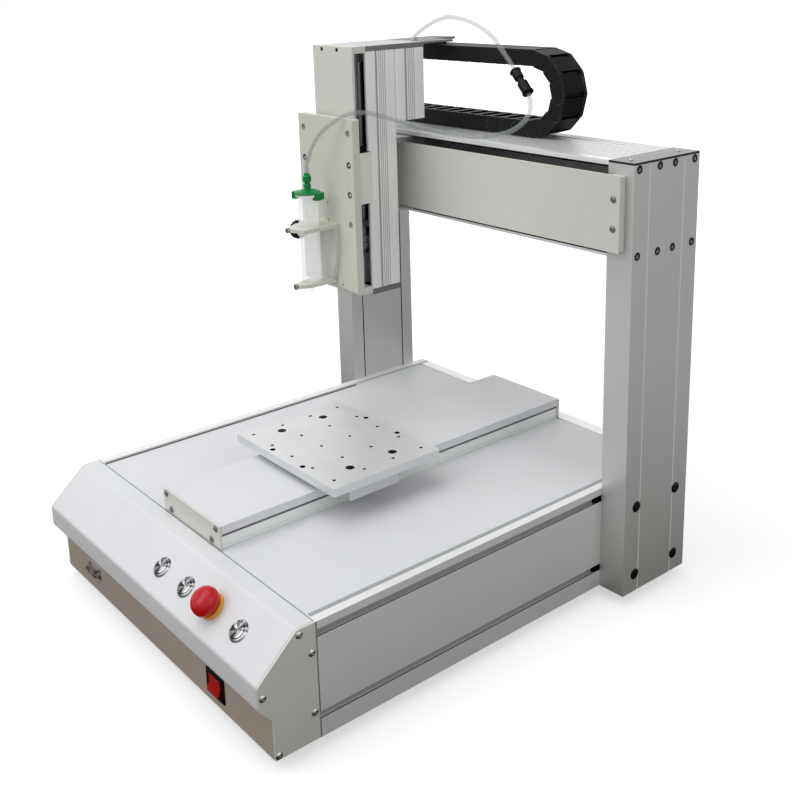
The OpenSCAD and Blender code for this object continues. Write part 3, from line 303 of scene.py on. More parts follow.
@dataclass(frozen=True)
class MachinedMetal(Finish):
    """Milled or ground metal, bead blasted to satin: fine grain with a few long tool marks."""

    grain_mm: float = 0.5
    along: Axis = Axis.X

    def pattern(self, shader: Node) -> None:
        """Adds grain and stretched marks, both coarser than real so that they show.

        Args:
            shader: Principled shader of the material.
        """
        tree = shader.id_data
        scale = [1 / (self.grain_mm * MM)] * 3
        scale[self.along.value] *= 0.06
        grain = add_node(tree, "TexNoise", inputs={
            "Vector": self.place(tree, scale), "Scale": 1.0, "Detail": 2.0, "Roughness": 0.6})
        cloud = add_node(tree, "TexNoise", inputs={
            "Vector": self.place(tree), "Scale": 22.0, "Detail": 5.0, "Roughness": 0.6})
        self.tint(shader, cloud.outputs[0], dark=0.94, light=1.03)
        self.rough(shader, grain.outputs[0], self.roughness - 0.1, self.roughness + 0.1)
        self.bump(shader, grain.outputs[0], 0.015, 0.7)


@dataclass(frozen=True)
class TurnedSteel(Finish):
    """Lathe turned stainless steel: rings round the axis and a painted sheen of light and dark wedges that
    fans out from it.
    """

    centre: Point = (0.0, 0.0, 0.0)
    tilt: float = 0.0
    ring_mm: float = 0.5
    wedges: float = 1.5
    # Levels of the painted sheen's dark and bright wedges
    contrast: tuple[float, float] = (0.07, 1.25)

    def pattern(self, shader: Node) -> None:
        """Adds turned rings, coarser than real to show, and the painted sheen: an uneven fan of light and
        dark.

        Args:
            shader: Principled shader of the material.
        """
        tree = shader.id_data
        coords = self.place(tree, centre=self.centre, turn=(self.tilt, 0, 0))
        flat = add_node(tree, "VectorMath", {"operation": "MULTIPLY"}, {0: coords, 1: (1, 1, 0)})
        ray = add_node(tree, "VectorMath", {"operation": "NORMALIZE"}, {0: flat.outputs[0]})
        fan = add_node(tree, "TexNoise", inputs={
            "Vector": ray.outputs[0], "Scale": self.wedges, "Detail": 1.0, "Roughness": 0.6})
        radius = add_node(tree, "VectorMath", {"operation": "LENGTH"}, {0: flat.outputs[0]})
        rings = add_node(tree, "Math", {"operation": "MULTIPLY"}, {
            0: radius.outputs["Value"], 1: 2 * math.pi / (self.ring_mm * MM)})
        rings = add_node(tree, "Math", {"operation": "SINE"}, {0: rings.outputs[0]})
        rings = add_node(tree, "MapRange", inputs={
            "Value": rings.outputs[0], "From Min": -1.0, "From Max": 1.0})
        self.tint(shader, fan.outputs[0], *self.contrast, low=0.43, high=0.57)
        self.rough(shader, rings.outputs[0], self.roughness, self.roughness + 0.08)
        self.bump(shader, rings.outputs[0], 0.01, 0.8)


@dataclass(frozen=True)
class MouldedPlastic(Finish):
    """Injection moulded plastic with a fine spark eroded grain."""

    grain_mm: float = 0.6
    depth_mm: float = 0.02

    def pattern(self, shader: Node) -> None:
        """Adds moulded grain, coarser than real so that it shows, and slightly uneven gloss.

        Args:
            shader: Principled shader of the material.
        """
        tree = shader.id_data
        coords = self.place(tree)
        grain = add_node(tree, "TexVoronoi", inputs={
            "Vector": coords, "Scale": 1 / (self.grain_mm * MM)})
        cloud = add_node(tree, "TexNoise", inputs={"Vector": coords, "Scale": 40.0, "Detail": 3.0})
        self.tint(shader, cloud.outputs[0], dark=0.9, light=1.08)
        self.rough(shader, cloud.outputs[0], self.roughness * 0.85, self.roughness * 1.2)
        self.bump(shader, grain.outputs[0], self.depth_mm, 0.7)


@dataclass(frozen=True)
class ClearPlastic(Finish):
    """Clear or milky plastic: what is behind it shows through, its edges are denser, and a painted reflection
    makes them brighter.
    """

    core: str = "A4A8A8"
    core_alpha: float = 0.2
    rim_alpha: float = 0.8
    rim: float = 0.55
    # Strength of the painted glow of light through a milky wall
    glow: float = 0.0

    def pattern(self, shader: Node) -> None:
        """Adds the clear core, edges brightened by painted reflection, and faint flow streaks of the
        moulding.

        Args:
            shader: Principled shader of the material.
        """
        tree = shader.id_data
        facing = add_node(tree, "LayerWeight", inputs={"Blend": 0.5}).outputs["Facing"]
        edge = add_node(tree, "MapRange", {"interpolation_type": "SMOOTHSTEP"}, {
            "Value": facing, "From Min": self.rim - 0.2, "From Max": self.rim + 0.2})
        shade = add_node(tree, "Mix", {"data_type": "RGBA"}, {
            "Factor": edge.outputs[0], 6: linear(self.core), 7: linear(self.color)})
        tree.links.new(shade.outputs[2], shader.inputs["Base Color"])
        cover = add_node(tree, "MapRange", inputs={
            "Value": edge.outputs[0], "To Min": self.core_alpha, "To Max": self.rim_alpha})
        tree.links.new(cover.outputs[0], shader.inputs["Alpha"])
        # Painted light: the core's colour glows, for light that comes through a milky wall from behind
        shader.inputs["Emission Color"].default_value = linear(self.core)
        shader.inputs["Emission Strength"].default_value = self.glow
        streak = add_node(tree, "TexNoise", inputs={
            "Vector": self.place(tree), "Scale": 160.0, "Detail": 1.0})
        self.rough(shader, streak.outputs[0], self.roughness, self.roughness + 0.06)


@dataclass(frozen=True)
class CircuitBoard(Finish):
    """Glass fibre board with green solder resist over copper tracks."""

    pitch_mm: float = 2.54

    def pattern(self, shader: Node) -> None:
        """Adds the raised blocks of copper under the resist.

        Args:
            shader: Principled shader of the material.
        """
        tree = shader.id_data
        bricks = add_node(tree, "TexBrick", inputs={
            "Vector": self.place(tree), "Scale": 1 / (self.pitch_mm * 2 * MM),
            "Color1": (0.2, 0.2, 0.2, 1), "Color2": (0.8, 0.8, 0.8, 1), "Mortar": (1, 1, 1, 1)})
        self.tint(shader, bricks.outputs["Color"], dark=0.6, light=1.2)
        self.bump(shader, bricks.outputs["Color"], 0.05)


# Powder coat, white: console, deck and the Y axis's cover
WHITE_COAT = PowderCoat("white_powder_coat", "E0E1E3", 0.42)
# Warmer and glossier white coat: Z carriage
WHITE_ENAMEL = PowderCoat("white_enamel", "E8E7E1", 0.34, peel_mm=2.0)
# Powder coat, warm light grey: console's ends, Y end plates, beam cover and Z cover
CREAM_COAT = PowderCoat("cream_powder_coat", "D9D9D1", 0.4)
# Glossier and a little greener: tool plate and syringe bracket
TOOL_COAT = PowderCoat("tool_plate_coat", "D6D5C9", 0.33)
# Anodised aluminium, drawn along each extrusion, so that its satin lines run that way
DRAWN_Y = DrawnAluminium("anodised_aluminium_y", "EFF0EF", 0.46, metallic=0.35, along=Axis.Y)
DRAWN_X = DrawnAluminium("anodised_aluminium_x", "FBFCFC", 0.32, metallic=0.45, along=Axis.X, line_mm=3.0)
DRAWN_Z = DrawnAluminium("anodised_aluminium_z", "CDCECB", 0.44, metallic=0.5, along=Axis.Z)
# The head's extrusions are matt and paler
PALE_Z = DrawnAluminium("pale_anodised_aluminium_z", "F8F8F5", 0.5, metallic=0.25, along=Axis.Z)
# Milled aluminium with satin grain: carriages, supports, the head's end plates and the bottom plate
MILLED = MachinedMetal("milled_aluminium", "C4C5C6", 0.38, metallic=0.75)
# Its sawn and darkened edges, and the duller screws of the Y axis and the beam's cover
DARK_MILLED = MachinedMetal("dark_anodised_plate", "7A7B7D", 0.45, metallic=0.5)
# Bead blasted and clear anodised, nearly white: work table, coupling and motor of the head
BLASTED = MachinedMetal("blasted_aluminium", "DEDFE0", 0.42, metallic=0.5, grain_mm=0.7)
# Polished stainless, which mirrors in streaks, its colour darkened as a painted reflection of dark
# surroundings: column caps
POLISHED = MachinedMetal("polished_stainless", "494A46", 0.13, metallic=1.0, grain_mm=0.3, along=Axis.Y)
# Ground bearing steel with a bright fine lay: lead screws and guide rails
GROUND = MachinedMetal("ground_steel", "B2B3B5", 0.22, metallic=1.0, grain_mm=0.4, along=Axis.Z)
# Stainless steel with dark and bright reflections: button head screws, button rings and port
STAINLESS = MachinedMetal("stainless_steel", "ABABAC", 0.2, metallic=1.0, grain_mm=0.3)
# Blackened steel with a dull sheen: cap screws
BLACK_OXIDE = MachinedMetal("black_oxide_steel", "303032", 0.3, metallic=0.9, grain_mm=0.4)
# Painted highlight: pale colour on the walls of hexagon sockets, on the side that would catch the light
SOCKET_HIGHLIGHT = MachinedMetal("painted_socket_highlight", "F4F4F2", 0.35, metallic=0.2, grain_mm=0.3)
# Painted shade, near black, in the unlit hollows of the extrusions and table's holes and on the head's rails;
# also the chips' own black
DEEP_SHADE_AND_CHIP_BLACK = MouldedPlastic("painted_shade_and_chip_black", "0D0C0B", 0.6, specular=0.1)
# Painted shade in narrow channels and on slot lips; the darker grey also marks joints between sheets
CHANNEL_GREY = PowderCoat("painted_shade_channel", "A2A3A5", 0.5)
CHANNEL_DARK = PowderCoat("painted_shade_channel_and_joints", "6E6F70", 0.5)
# Cover strip in the side slots, painted a little darker than the rail for the shade inside the slot
SHADED_SLOT_STRIP = DrawnAluminium("slot_strip_painted_shade", "AFAFAB", 0.5, metallic=0.3, along=Axis.Y)
# Painted shade in the grooves and painted highlights on the rounded edges of the head's extrusions, the
# columns and the beam
GROOVE_SHADE_Z = DrawnAluminium("painted_groove_shade_z", "BEBFC0", 0.5, metallic=0.3, along=Axis.Z)
EDGE_HIGHLIGHT_Z = DrawnAluminium("painted_edge_highlight_z", "FAFAF8", 0.4, metallic=0.1, along=Axis.Z)
GROOVE_SHADE_DARK = DrawnAluminium("painted_dark_groove_shade_z", "5E5F60", 0.5, metallic=0.3, along=Axis.Z)
GROOVE_SHADE_X = DrawnAluminium("painted_groove_shade_x", "8E9194", 0.35, metallic=0.6, along=Axis.X)
# Painted shade: warm darker grey on the console's recessed lower face, for the shade under the nose
WARM_SHADE_COAT = PowderCoat("painted_warm_shade_coat", "BAAEA3", 0.45)
# Black nylon: dull and grainy side plates, glossier slats
NYLON_SIDE = MouldedPlastic("black_nylon_side", "19191B", 0.45, specular=0.14)
BLACK_NYLON = MouldedPlastic("black_nylon", "050506", 0.36, specular=0.08)
# Painted highlight: pale grey on the links' rounded edges, which draws their round outlines
NYLON_EDGE_HIGHLIGHT = MouldedPlastic("painted_edge_highlight_nylon", "A4A6AA", 0.4, specular=0.3)
# Black ABS with a fine grain and a soft gloss
BLACK_ABS = MouldedPlastic("black_abs", "08080A", 0.34, specular=0.15, grain_mm=0.8)
# Dull rubber feet and softly shining motor paint
RUBBER = MouldedPlastic("nitrile_rubber", "1C1C1C", 0.75, grain_mm=1.0)
BLACK_PAINT = PowderCoat("black_motor_paint", "202124", 0.42)
# Pale grey acetal collar on the head's top
PALE_ACETAL = MouldedPlastic("pale_acetal", "CFCFCB", 0.35)
# Glossy coloured plastics of the stop button, switch, port and cap, with sharp highlights
RED_GLOSS = MouldedPlastic("red_polycarbonate", "C00A12", 0.09, specular=0.28, grain_mm=0.5,
                           depth_mm=0.0005)
RED_ROCKER = MouldedPlastic("red_nylon", "B80F12", 0.2, coat=0.3, grain_mm=2.0, depth_mm=0.006)
YELLOW_GLOSS = MouldedPlastic("yellow_polycarbonate", "E89A1C", 0.22, coat=0.3, grain_mm=2.0, depth_mm=0.006)
BLUE_INSERT = MouldedPlastic("blue_polyester", "4C8FD0", 0.35)
GREEN_CAP = MouldedPlastic("green_polypropylene", "04803C", 0.22, specular=0.22, grain_mm=0.8, depth_mm=0.002)
# Gold plate, which shines warm on the pins
GOLD_PIN = MachinedMetal("gold_plated_pin", "D8B25A", 0.25, metallic=1.0, grain_mm=0.3)
# Milky polypropylene barrel, nearly white where it is thick, with a faint painted glow, and clear
# polyurethane tube with edges brightened by painted reflection
MILKY_BARREL = ClearPlastic("milky_polypropylene", "FFFFFF", 0.22, core="FAFCFC", core_alpha=0.28,
                            rim_alpha=0.6, rim=0.7, glow=0.14)
CLEAR_TUBE = ClearPlastic("clear_polyurethane", "FCFEFE", 0.16, core="A2A7A7", core_alpha=0.2,
                          rim_alpha=0.9, rim=0.86)
# Green resist over the raised copper of the board
BOARD = CircuitBoard("solder_resist", "1C6B3A", 0.35)


class Bench:
    """Hand modelling steps on Blender's own operators."""

    # Radius that stands for a point on the axis of a turned piece
    POLE_MM = 0.01
    # Angles up to which faces shade smoothly, in degrees
    TURNED_SMOOTH = 35.0
    TUBE_SMOOTH = 50.0
    # Steps of a tube's round, which has 4 sides and 2 more for each step
    TUBE_STEPS = 8
    # Distances within which points are doubles, in metres
    TURNED_GAP = 0.00002
    TUBE_GAP = 0.00001
    COPY_GAP = 0.000005

    @staticmethod
    def clear() -> None:
        """Leaves edit mode and deselects everything."""
        if bpy.context.object and bpy.context.object.mode != "OBJECT":
            bpy.ops.object.mode_set(mode="OBJECT")
        bpy.ops.object.select_all(action="DESELECT")

    @staticmethod
    def use(piece: Object) -> None:
        """Makes a piece the only selected and active object.

        Args:
            piece: Piece to work on.
        """
        Bench.clear()
        piece.select_set(True)
        bpy.context.view_layer.objects.active = piece

    @staticmethod
    def edit(piece: Object) -> None:
        """Opens a piece in edit mode with its whole mesh selected.

        Args:
            piece: Piece to work on.
        """
        Bench.use(piece)
        bpy.ops.object.mode_set(mode="EDIT")
        bpy.ops.mesh.select_all(action="SELECT")

    @staticmethod
    def heal(gap: float) -> None:
        """Merges doubles of the open mesh, turns its faces outwards and leaves edit mode.

        Args:
            gap: Distance within which points are doubles.
        """
        bpy.ops.mesh.select_all(action="SELECT")
        bpy.ops.mesh.remove_doubles(threshold=gap)
        bpy.ops.mesh.normals_make_consistent(inside=False)
        bpy.ops.object.mode_set(mode="OBJECT")

    @staticmethod
    def modify(piece: Object, kind: str, **settings: float | str) -> None:
        """Adds a modifier to the piece in use and applies it.

        Args:
            piece: Active piece.
            kind: Type of the modifier.
            settings: Values of its attributes.
        """
        added = piece.modifiers.new(kind.lower(), kind)
        for key, value in settings.items():
            setattr(added, key, value)
        bpy.ops.object.modifier_apply(modifier=added.name)

    @staticmethod
    def add(name: str, data: bpy.types.ID) -> Object:
        """Adds an object for a mesh, curve, camera or lamp to the scene.

        Args:
            name: Name of the object.
            data: What it shows.

        Returns:
            The object.
        """
        added = bpy.data.objects.new(name, data)
        bpy.context.collection.objects.link(added)
        return added

    @staticmethod
    def settle(piece: Object) -> None:
        """Puts the piece's place into its mesh."""
        Bench.use(piece)
        bpy.ops.object.transform_apply(location=True, rotation=True, scale=True)

    @staticmethod
    def even(piece: Object, angle: float) -> None:
        """Shades a piece smoothly, with its flat faces kept flat by weighted normals.

        Args:
            piece: Piece to shade.
            angle: Angle up to which faces shade smoothly, in degrees.
        """
        Bench.use(piece)
        bpy.ops.object.shade_smooth_by_angle(angle=math.radians(angle))
        Bench.modify(piece, "WEIGHTED_NORMAL", keep_sharp=True, weight=80)

    @staticmethod
    def turned(name: str, profile: Profile, foot: Vector, axis: Vector, sides: int) -> Object:
        """Turns a profile round an axis by extruding and resizing a disc ring by ring.

        Args:
            name: Name of the piece.
            profile: Its rings, from the foot up.
            foot: Point on the axis at height 0.
            axis: Direction of the axis.
            sides: Number of sides.

        Returns:
            The closed turned piece.
        """
        rings = [(max(radius, Bench.POLE_MM) * MM, height * MM) for radius, height in profile]
        here, height = rings[0]
        Bench.clear()
        bpy.ops.mesh.primitive_circle_add(vertices=sides, radius=here, fill_type="NGON",
                                          location=(0, 0, height))
        piece = bpy.context.object
        piece.name = piece.data.name = name
        Bench.settle(piece)
        Bench.edit(piece)
        for radius, level in rings[1:]:
            bpy.ops.mesh.extrude_region_move(TRANSFORM_OT_translate={"value": (0, 0, level - height)})
            grow = radius / here
            bpy.ops.transform.resize(value=(grow, grow, 1), center_override=(0, 0, level))
            here, height = radius, level
        Bench.heal(Bench.TURNED_GAP)
        piece.rotation_mode = "QUATERNION"
        piece.rotation_quaternion = axis.to_track_quat("Z", "Y")
        piece.location = foot
        Bench.settle(piece)
        bpy.ops.object.shade_smooth_by_angle(angle=math.radians(Bench.TURNED_SMOOTH))
        return piece

    @staticmethod
    def join(name: str, pieces: Sequence[Object]) -> Object:
        """Joins pieces into one.

        Args:
            name: Name of the joined piece.
            pieces: Pieces to join.

        Returns:
            The first piece, which now holds all.
        """
        Bench.use(pieces[0])
        for piece in pieces[1:]:
            piece.select_set(True)
        bpy.ops.object.join()
        pieces[0].name = pieces[0].data.name = name
        return pieces[0]

    @staticmethod
    def tube(name: str, points: Sequence[Vector], radius: float, wall: float) -> Object:
        """Makes a hollow tube along points.

        Args:
            name: Name of the piece.
            points: Centres of the tube's rings.
            radius: Outer radius.
            wall: Thickness of the wall.

        Returns:
            The tube as a mesh.
        """
        Bench.clear()
        curve = bpy.data.curves.new(name, "CURVE")
        curve.dimensions = "3D"
        curve.bevel_depth = radius
        curve.bevel_resolution = Bench.TUBE_STEPS
        spline = curve.splines.new("POLY")
        spline.points.add(len(points) - 1)
        for knot, point in zip(spline.points, points):
            knot.co = (*point, 1)
        Bench.use(Bench.add(name, curve))
        bpy.ops.object.convert(target="MESH")
        piece = bpy.context.object
        Bench.edit(piece)
        Bench.heal(Bench.TUBE_GAP)
        Bench.modify(piece, "SOLIDIFY", thickness=wall, offset=-1)
        bpy.ops.object.shade_smooth_by_angle(angle=math.radians(Bench.TUBE_SMOOTH))
        return piece


def dress(piece: Object, finish: Finish, body: str | None = None) -> None:
    """Gives a piece its finish, body and material slot, and reports it.

    Args:
        piece: Piece to dress.
        finish: Finish of the whole piece.
        body: Body that it rides on, if it isn't set elsewhere.
    """
    piece.data.materials.clear()
    piece.data.materials.append(finish.material())
    if body:
        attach(piece, body)
    log.info("dressed %s in %s", piece.name, finish.name)


@dataclass(frozen=True)
class Accent:
    """Second finish, for the faces of a node whose middles lie in a box of the base frame.

    With an axis in facing, it takes only faces whose normal has a share within span along that axis.
    """

    finish: Finish
    low: Point
    high: Point
    facing: Axis | None = None
    span: tuple[float, float] = (0.9, 1.01)

    def holds(self, face: MeshPolygon) -> bool:
        """Tells whether a face takes the finish.

        Args:
            face: Face of the node's copy.

        Returns:
            True if it lies in the box and faces the right way.
        """
        middle = (face.center - BASE_SHIFT) / MM
        inside = all(a <= v <= b for a, v, b in zip(self.low, middle, self.high))
        if self.facing is None or not inside:
            return inside
        return self.span[0] <= abs(face.normal[self.facing.value]) <= self.span[1]


def both_sides(finish: Finish, low: Point, high: Point, middle: float = 0.0,
               facing: Axis | None = None) -> list[Accent]:
    """Mirrors an accent of the right hand side.

    Args:
        finish: Finish of both.
        low: Lowest corner of the right hand box.
        high: Highest corner of the right hand box.
        middle: X of the mirror plane.
        facing: Axis that the faces look along, if only those are meant.

    Returns:
        The accent and its mirror image.
    """
    return [Accent(finish, low, high, facing),
            Accent(finish, (2 * middle - high[0], *low[1:]), (2 * middle - low[0], *high[1:]), facing)]


@dataclass
class NodeCopy:
    """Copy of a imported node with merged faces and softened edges, which stands for it."""

    node: str
    finish: Finish
    edge_mm: float
    accents: Sequence[Accent] = ()
    cuts: Sequence[tuple[Axis, float]] = ()
    # Angle from which an edge is softened, and angle up to which faces then shade smoothly
    sharp: float = 32.0
    smooth: float = 60.0
    # Angle between faces that count as one
    flat: float = 0.4

    def split(self, piece: Object) -> None:
        """Cuts the faces along planes, so that a second finish can end there.

        Args:
            piece: The copy.
        """
        for axis, place in self.cuts:
            normal = [0.0, 0.0, 0.0]
            normal[axis.value] = 1.0
            Bench.edit(piece)
            bpy.ops.mesh.bisect(plane_co=at(place, place, place), plane_no=normal)

    def build(self) -> Object:
        """Makes the copy, dresses it and lets it stand for the node.

        Returns:
            The copy.
        """
        piece = Bench.add(self.node + "_shell", frame["nodes"][self.node].data.copy())
        Bench.use(piece)
        if piece.data.has_custom_normals:
            bpy.ops.mesh.customdata_custom_splitnormals_clear()
        Bench.edit(piece)
        bpy.ops.mesh.remove_doubles(threshold=Bench.COPY_GAP)
        bpy.ops.mesh.dissolve_limited(angle_limit=math.radians(self.flat))
        bpy.ops.object.mode_set(mode="OBJECT")
        if self.edge_mm:
            Bench.modify(piece, "BEVEL", width=self.edge_mm * MM, segments=2, limit_method="ANGLE",
                         angle_limit=math.radians(self.sharp), miter_outer="MITER_ARC")
        self.split(piece)
        Bench.even(piece, self.smooth if self.edge_mm else self.sharp)
        dress(piece, self.finish)
        for accent in self.accents:
            piece.data.materials.append(accent.finish.material())
            for face in piece.data.polygons:
                if accent.holds(face):
                    face.material_index = len(piece.data.materials) - 1
        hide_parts(self.node)
        return piece


@dataclass
class Assembly:
    """Part of the machine: finish and softened edge in mm of each node, second finishes and cuts."""

    finishes: dict[str, tuple[Finish, float]] = given({})
    accents: dict[str, list[Accent]] = given({})
    cuts: dict[str, list[tuple[Axis, float]]] = given({})

    def shell(self, node: str, finish: Finish, edge_mm: float, accents: Sequence[Accent]) -> None:
        """Dresses a node that keeps its shape and lets it ride on its body.

        Args:
            node: Name of the node.
            finish: Its finish.
            edge_mm: Width of its softened edges.
            accents: Its second finishes.
        """
        piece = NodeCopy(node, finish, edge_mm, accents, self.cuts.get(node, ())).build()
        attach(piece, body_of(node))

    def stand_in(self, piece: Object, finish: Finish, node: str) -> None:
        """Dresses a modelled piece that takes a node's place on its body.

        Args:
            piece: The modelled piece.
            finish: Its finish.
            node: Node that it stands for.
        """
        dress(piece, finish, body_of(node))
        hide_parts(node)

    def small_parts(self, name: str, profile: Profile, feet: Sequence[Vector], axis: Vector, sides: int,
                    finish: Finish, node: str) -> None:
        """Turns one small metal part, copies it to every foot and joins the copies.

        Args:
            name: Name of the joined piece.
            profile: Its rings, from the foot up.
            feet: Where the copies stand.
            axis: Direction of their axes.
            sides: Number of sides.
            finish: Their finish.
            node: Node that they ride with.
        """
        first = Bench.turned(name + "_first", profile, Vector(), axis, sides)
        copies = []
        for foot in feet:
            copy = Bench.add(name + "_copy", first.data.copy())
            copy.location = foot
            Bench.settle(copy)
            copies.append(copy)
        bpy.data.objects.remove(first)
        dress(Bench.join(name, copies), finish, body_of(node))

    def build(self) -> None:
        """Dresses every node of the table of finishes."""
        for node, (finish, edge_mm) in self.finishes.items():
            self.shell(node, finish, edge_mm, self.accents.get(node, ()))


@dataclass
class Base(Assembly):
    """Extruded side rails, deck, panels, feet and what is inside the base."""

    finishes: dict = given({
        "base_sides": (DRAWN_Y, 0.5), "rear_panel": (DRAWN_X, 0.4), "bottom_plate": (MILLED, 0),
        "deck_plates": (WHITE_COAT, 0.9), "feet": (RUBBER, 1), "electronics": (BOARD, 0.3),
        "power_inlet": (BLACK_ABS, 0.4)})
    accents: dict = given({
        "base_sides": [
            # Painted shade in the channel along the deck and on its lip, and the dark joint behind the
            # console
            *both_sides(CHANNEL_DARK, (217.4, 52, 119), (217.6, 600, 124)),
            Accent(CHANNEL_GREY, (217.4, 52, 123.2), (223.2, 600, 124.2)),
            Accent(CHANNEL_GREY, (-221.6, 52, 123.2), (-217.4, 600, 124.2)),
            *both_sides(CHANNEL_DARK, (232.6, 50, -1), (233.1, 52.3, 125)),
            # Strip with its painted shade, and painted shade on the lower lip and in the open rear end of
            # each T slot
            *(accent for z in (24.0, 111.5) for accent in (
                *both_sides(SHADED_SLOT_STRIP, (226.9, 50, z - 6), (227.1, 440.9, z + 6)),
                *both_sides(CHANNEL_DARK, (230.9, 50, z - 4.3), (233.01, 600, z - 3.7), facing=Axis.Z),
                *both_sides(DEEP_SHADE_AND_CHIP_BLACK, (226.9, 441.1, z - 6.1), (232.6, 600, z + 6.1))))],
        # Controller's chips and the power supply's case
        "electronics": [Accent(DEEP_SHADE_AND_CHIP_BLACK, (-180, 345, 12.2), (-10, 425, 33)),
                        Accent(MILLED, (39.9, 299.9, 2.4), (139.1, 500.1, 44.6))]})
    cuts: dict = given({
        "base_sides": [(Axis.Y, 441.0), (Axis.Y, 52.3), (Axis.X, 223.1), (Axis.X, -221.5)]})


@dataclass
class Console(Assembly):
    """Operator's console with its slanted face, three push buttons, stop button, switch and port."""

    slope_deg: float = 41.634
    slope_middle: tuple[float, float] = (7.5, 104.0)
    buttons: dict[str, float] = given({
        "button_cap_left": 17.0, "button_cap_middle": 68.0, "button_cap_right": 170.0})
    button_s: float = -2.0
    stop_x: float = 119.0
    port_middle: Point = (-153.0, -3.4, 26.0)
    pin_pitch: float = 2.74
    # Number of pins and height of each row
    pin_rows: tuple = ((5, 1.4), (4, -1.4))
    pin_profile: Profile = ((0.5, 0), (0.5, 1.8), (0.25, 2.3), (0.01, 2.4))
    cap_profile: Profile = (
        (7.5, -2.8), (8, -2.5), (8, 2.7), (7.85, 3.05), (7.5, 3.2), (5.6, 3.18), (4.6, 3.04), (3.4, 2.86),
        (2.2, 2.72), (1.1, 2.63), (0.01, 2.6))
    stop_profile: Profile = (
        (12.2, 8.2), (14.4, 8.5), (15.2, 9.6), (15.5, 11.2), (15.4, 13), (14.7, 16), (13.2, 18.9),
        (11.0, 21.3), (8.2, 22.9), (5.2, 23.7), (2.4, 24), (0.01, 24))
    # Levels of the painted sheen's wedges on a button's cap and on its ring, and how far an accent reaches
    # round it
    cap_contrast: tuple[float, float] = (0.07, 1.25)
    ring_contrast: tuple[float, float] = (0.14, 1.15)
    ring_reach: float = 15.0
    finishes: dict = given({
        "console_cover": (WHITE_COAT, 0.4), "console_ends": (CREAM_COAT, 0.6),
        "case_screws": (STAINLESS, 0.2), "switch_frame": (BLACK_ABS, 0.7),
        "switch_rocker": (RED_ROCKER, 0.5), "data_port": (STAINLESS, 0.3),
        "estop_collar": (YELLOW_GLOSS, 0.5), "estop_stem": (RED_GLOSS, 0.3)})
    accents: dict = given({
        # The port's insert, duller screws, painted shade on the recess under the nose, and the joint to the
        # deck
        "data_port": [Accent(BLUE_INSERT, (-160.9, -3.6, 22.5), (-145.1, -3.4, 29.5))],
        "case_screws": [Accent(DARK_MILLED, (-60, 40, 100), (60, 60, 160)),
                        Accent(DARK_MILLED, (-270, 430, 400), (270, 445, 500))],
        "console_cover": [Accent(WARM_SHADE_COAT, (-235, -0.8, -1), (235, 0.5, 43)),
                          Accent(CHANNEL_DARK, (-235, 49.8, 123.4), (235, 51.1, 124.1))]})
    cuts: dict = given({"console_cover": [(Axis.Y, 49.9)]})

    def on_slope(self, x: float, s: float, h: float = 0.0) -> Vector:
        """Finds a point on the slanted face.

        Args:
            x: Place across the console.
            s: Way up the slope from its middle.
            h: Height over the face.

        Returns:
            The point in the part's frame.
        """
        sine, cosine = math.sin(math.radians(self.slope_deg)), math.cos(math.radians(self.slope_deg))
        y, z = self.slope_middle
        return at(x, y + s * cosine - h * sine, z + s * sine + h * cosine)

    def turned_finish(self, name: str, x: float, contrast: tuple[float, float]) -> TurnedSteel:
        """Makes turned steel whose rings and painted sheen run round a button's axis.

        Args:
            name: Name of the material.
            x: Place of the button.
            contrast: Levels of the painted sheen's dark and bright wedges.

        Returns:
            The finish.
        """
        return TurnedSteel(name, "B8B9BB", roughness=0.24, metallic=1.0, contrast=contrast,
                           centre=tuple(self.on_slope(x, self.button_s)), tilt=math.radians(self.slope_deg))

    def turned_part(self, name: str, profile: Profile, x: float, s: float) -> Object:
        """Turns a profile on the slanted face.

        Args:
            name: Name of the piece.
            profile: Its rings, from the foot up.
            x: Place across the console.
            s: Way up the slope from its middle.

        Returns:
            The turned piece.
        """
        foot = self.on_slope(x, s)
        return Bench.turned(name, profile, foot, self.on_slope(x, s, 1) - foot, sides=64)

    def push_buttons(self) -> None:
        """Models the dished caps and dresses the ring round each."""
        rings = []
        for node, x in self.buttons.items():
            cap = self.turned_part(node + "_turned", self.cap_profile, x, self.button_s)
            self.stand_in(cap, self.turned_finish("turned_cap_%d" % x, x, self.cap_contrast), node)
            ring = self.turned_finish("turned_ring_%d" % x, x, self.ring_contrast)
            rings.append(Accent(ring, (x - self.ring_reach, -40, 60), (x + self.ring_reach, 60, 140)))
        self.shell("button_bezels", STAINLESS, 0.4, rings)

    def port_pins(self) -> None:
        """Models the data port's pins in their two rows."""
        feet = [at(*self.port_middle) + Vector(((i - (count - 1) / 2) * self.pin_pitch, 0, height)) * MM
                for count, height in self.pin_rows for i in range(count)]
        self.small_parts("port_pins", self.pin_profile, feet, TO_OPERATOR, 12, GOLD_PIN, "data_port")

    def build(self) -> None:
        """Makes the console with its push buttons, the stop button's mushroom head and the port."""
        super().build()
        self.push_buttons()
        head = self.turned_part("estop_mushroom", self.stop_profile, self.stop_x, 0.0)
        self.stand_in(head, RED_GLOSS, "estop_head")
        self.port_pins()


@dataclass
class Drives(Assembly):
    """Guide rails, screws, supports and motors inside the Y and X modules."""

    finishes: dict = given({
        "guide_rails": (GROUND, 0.4), "screw_supports": (MILLED, 0.4), "axis_motors": (BLACK_PAINT, 0.5),
        "y_screw": (GROUND, 0.3), "x_screw": (GROUND, 0.3)})


@dataclass
class YAxis(Assembly):
    """Sunk Y module with its cover, end plates, carriage and work table."""

    finishes: dict = given({
        "y_body": (DRAWN_Y, 0.3), "y_cover": (WHITE_COAT, 0.7), "y_end_plates": (CREAM_COAT, 0.5),
        "y_carriage": (MILLED, 0.5), "table_plate": (BLASTED, 0.4), "table_bolts": (BLACK_OXIDE, 0.3)})
    # Painted shade inside the table's holes
    accents: dict = given({
        "table_plate": [Accent(DEEP_SHADE_AND_CHIP_BLACK, (-97, 174, 157.5), (97, 320, 166.2))]})


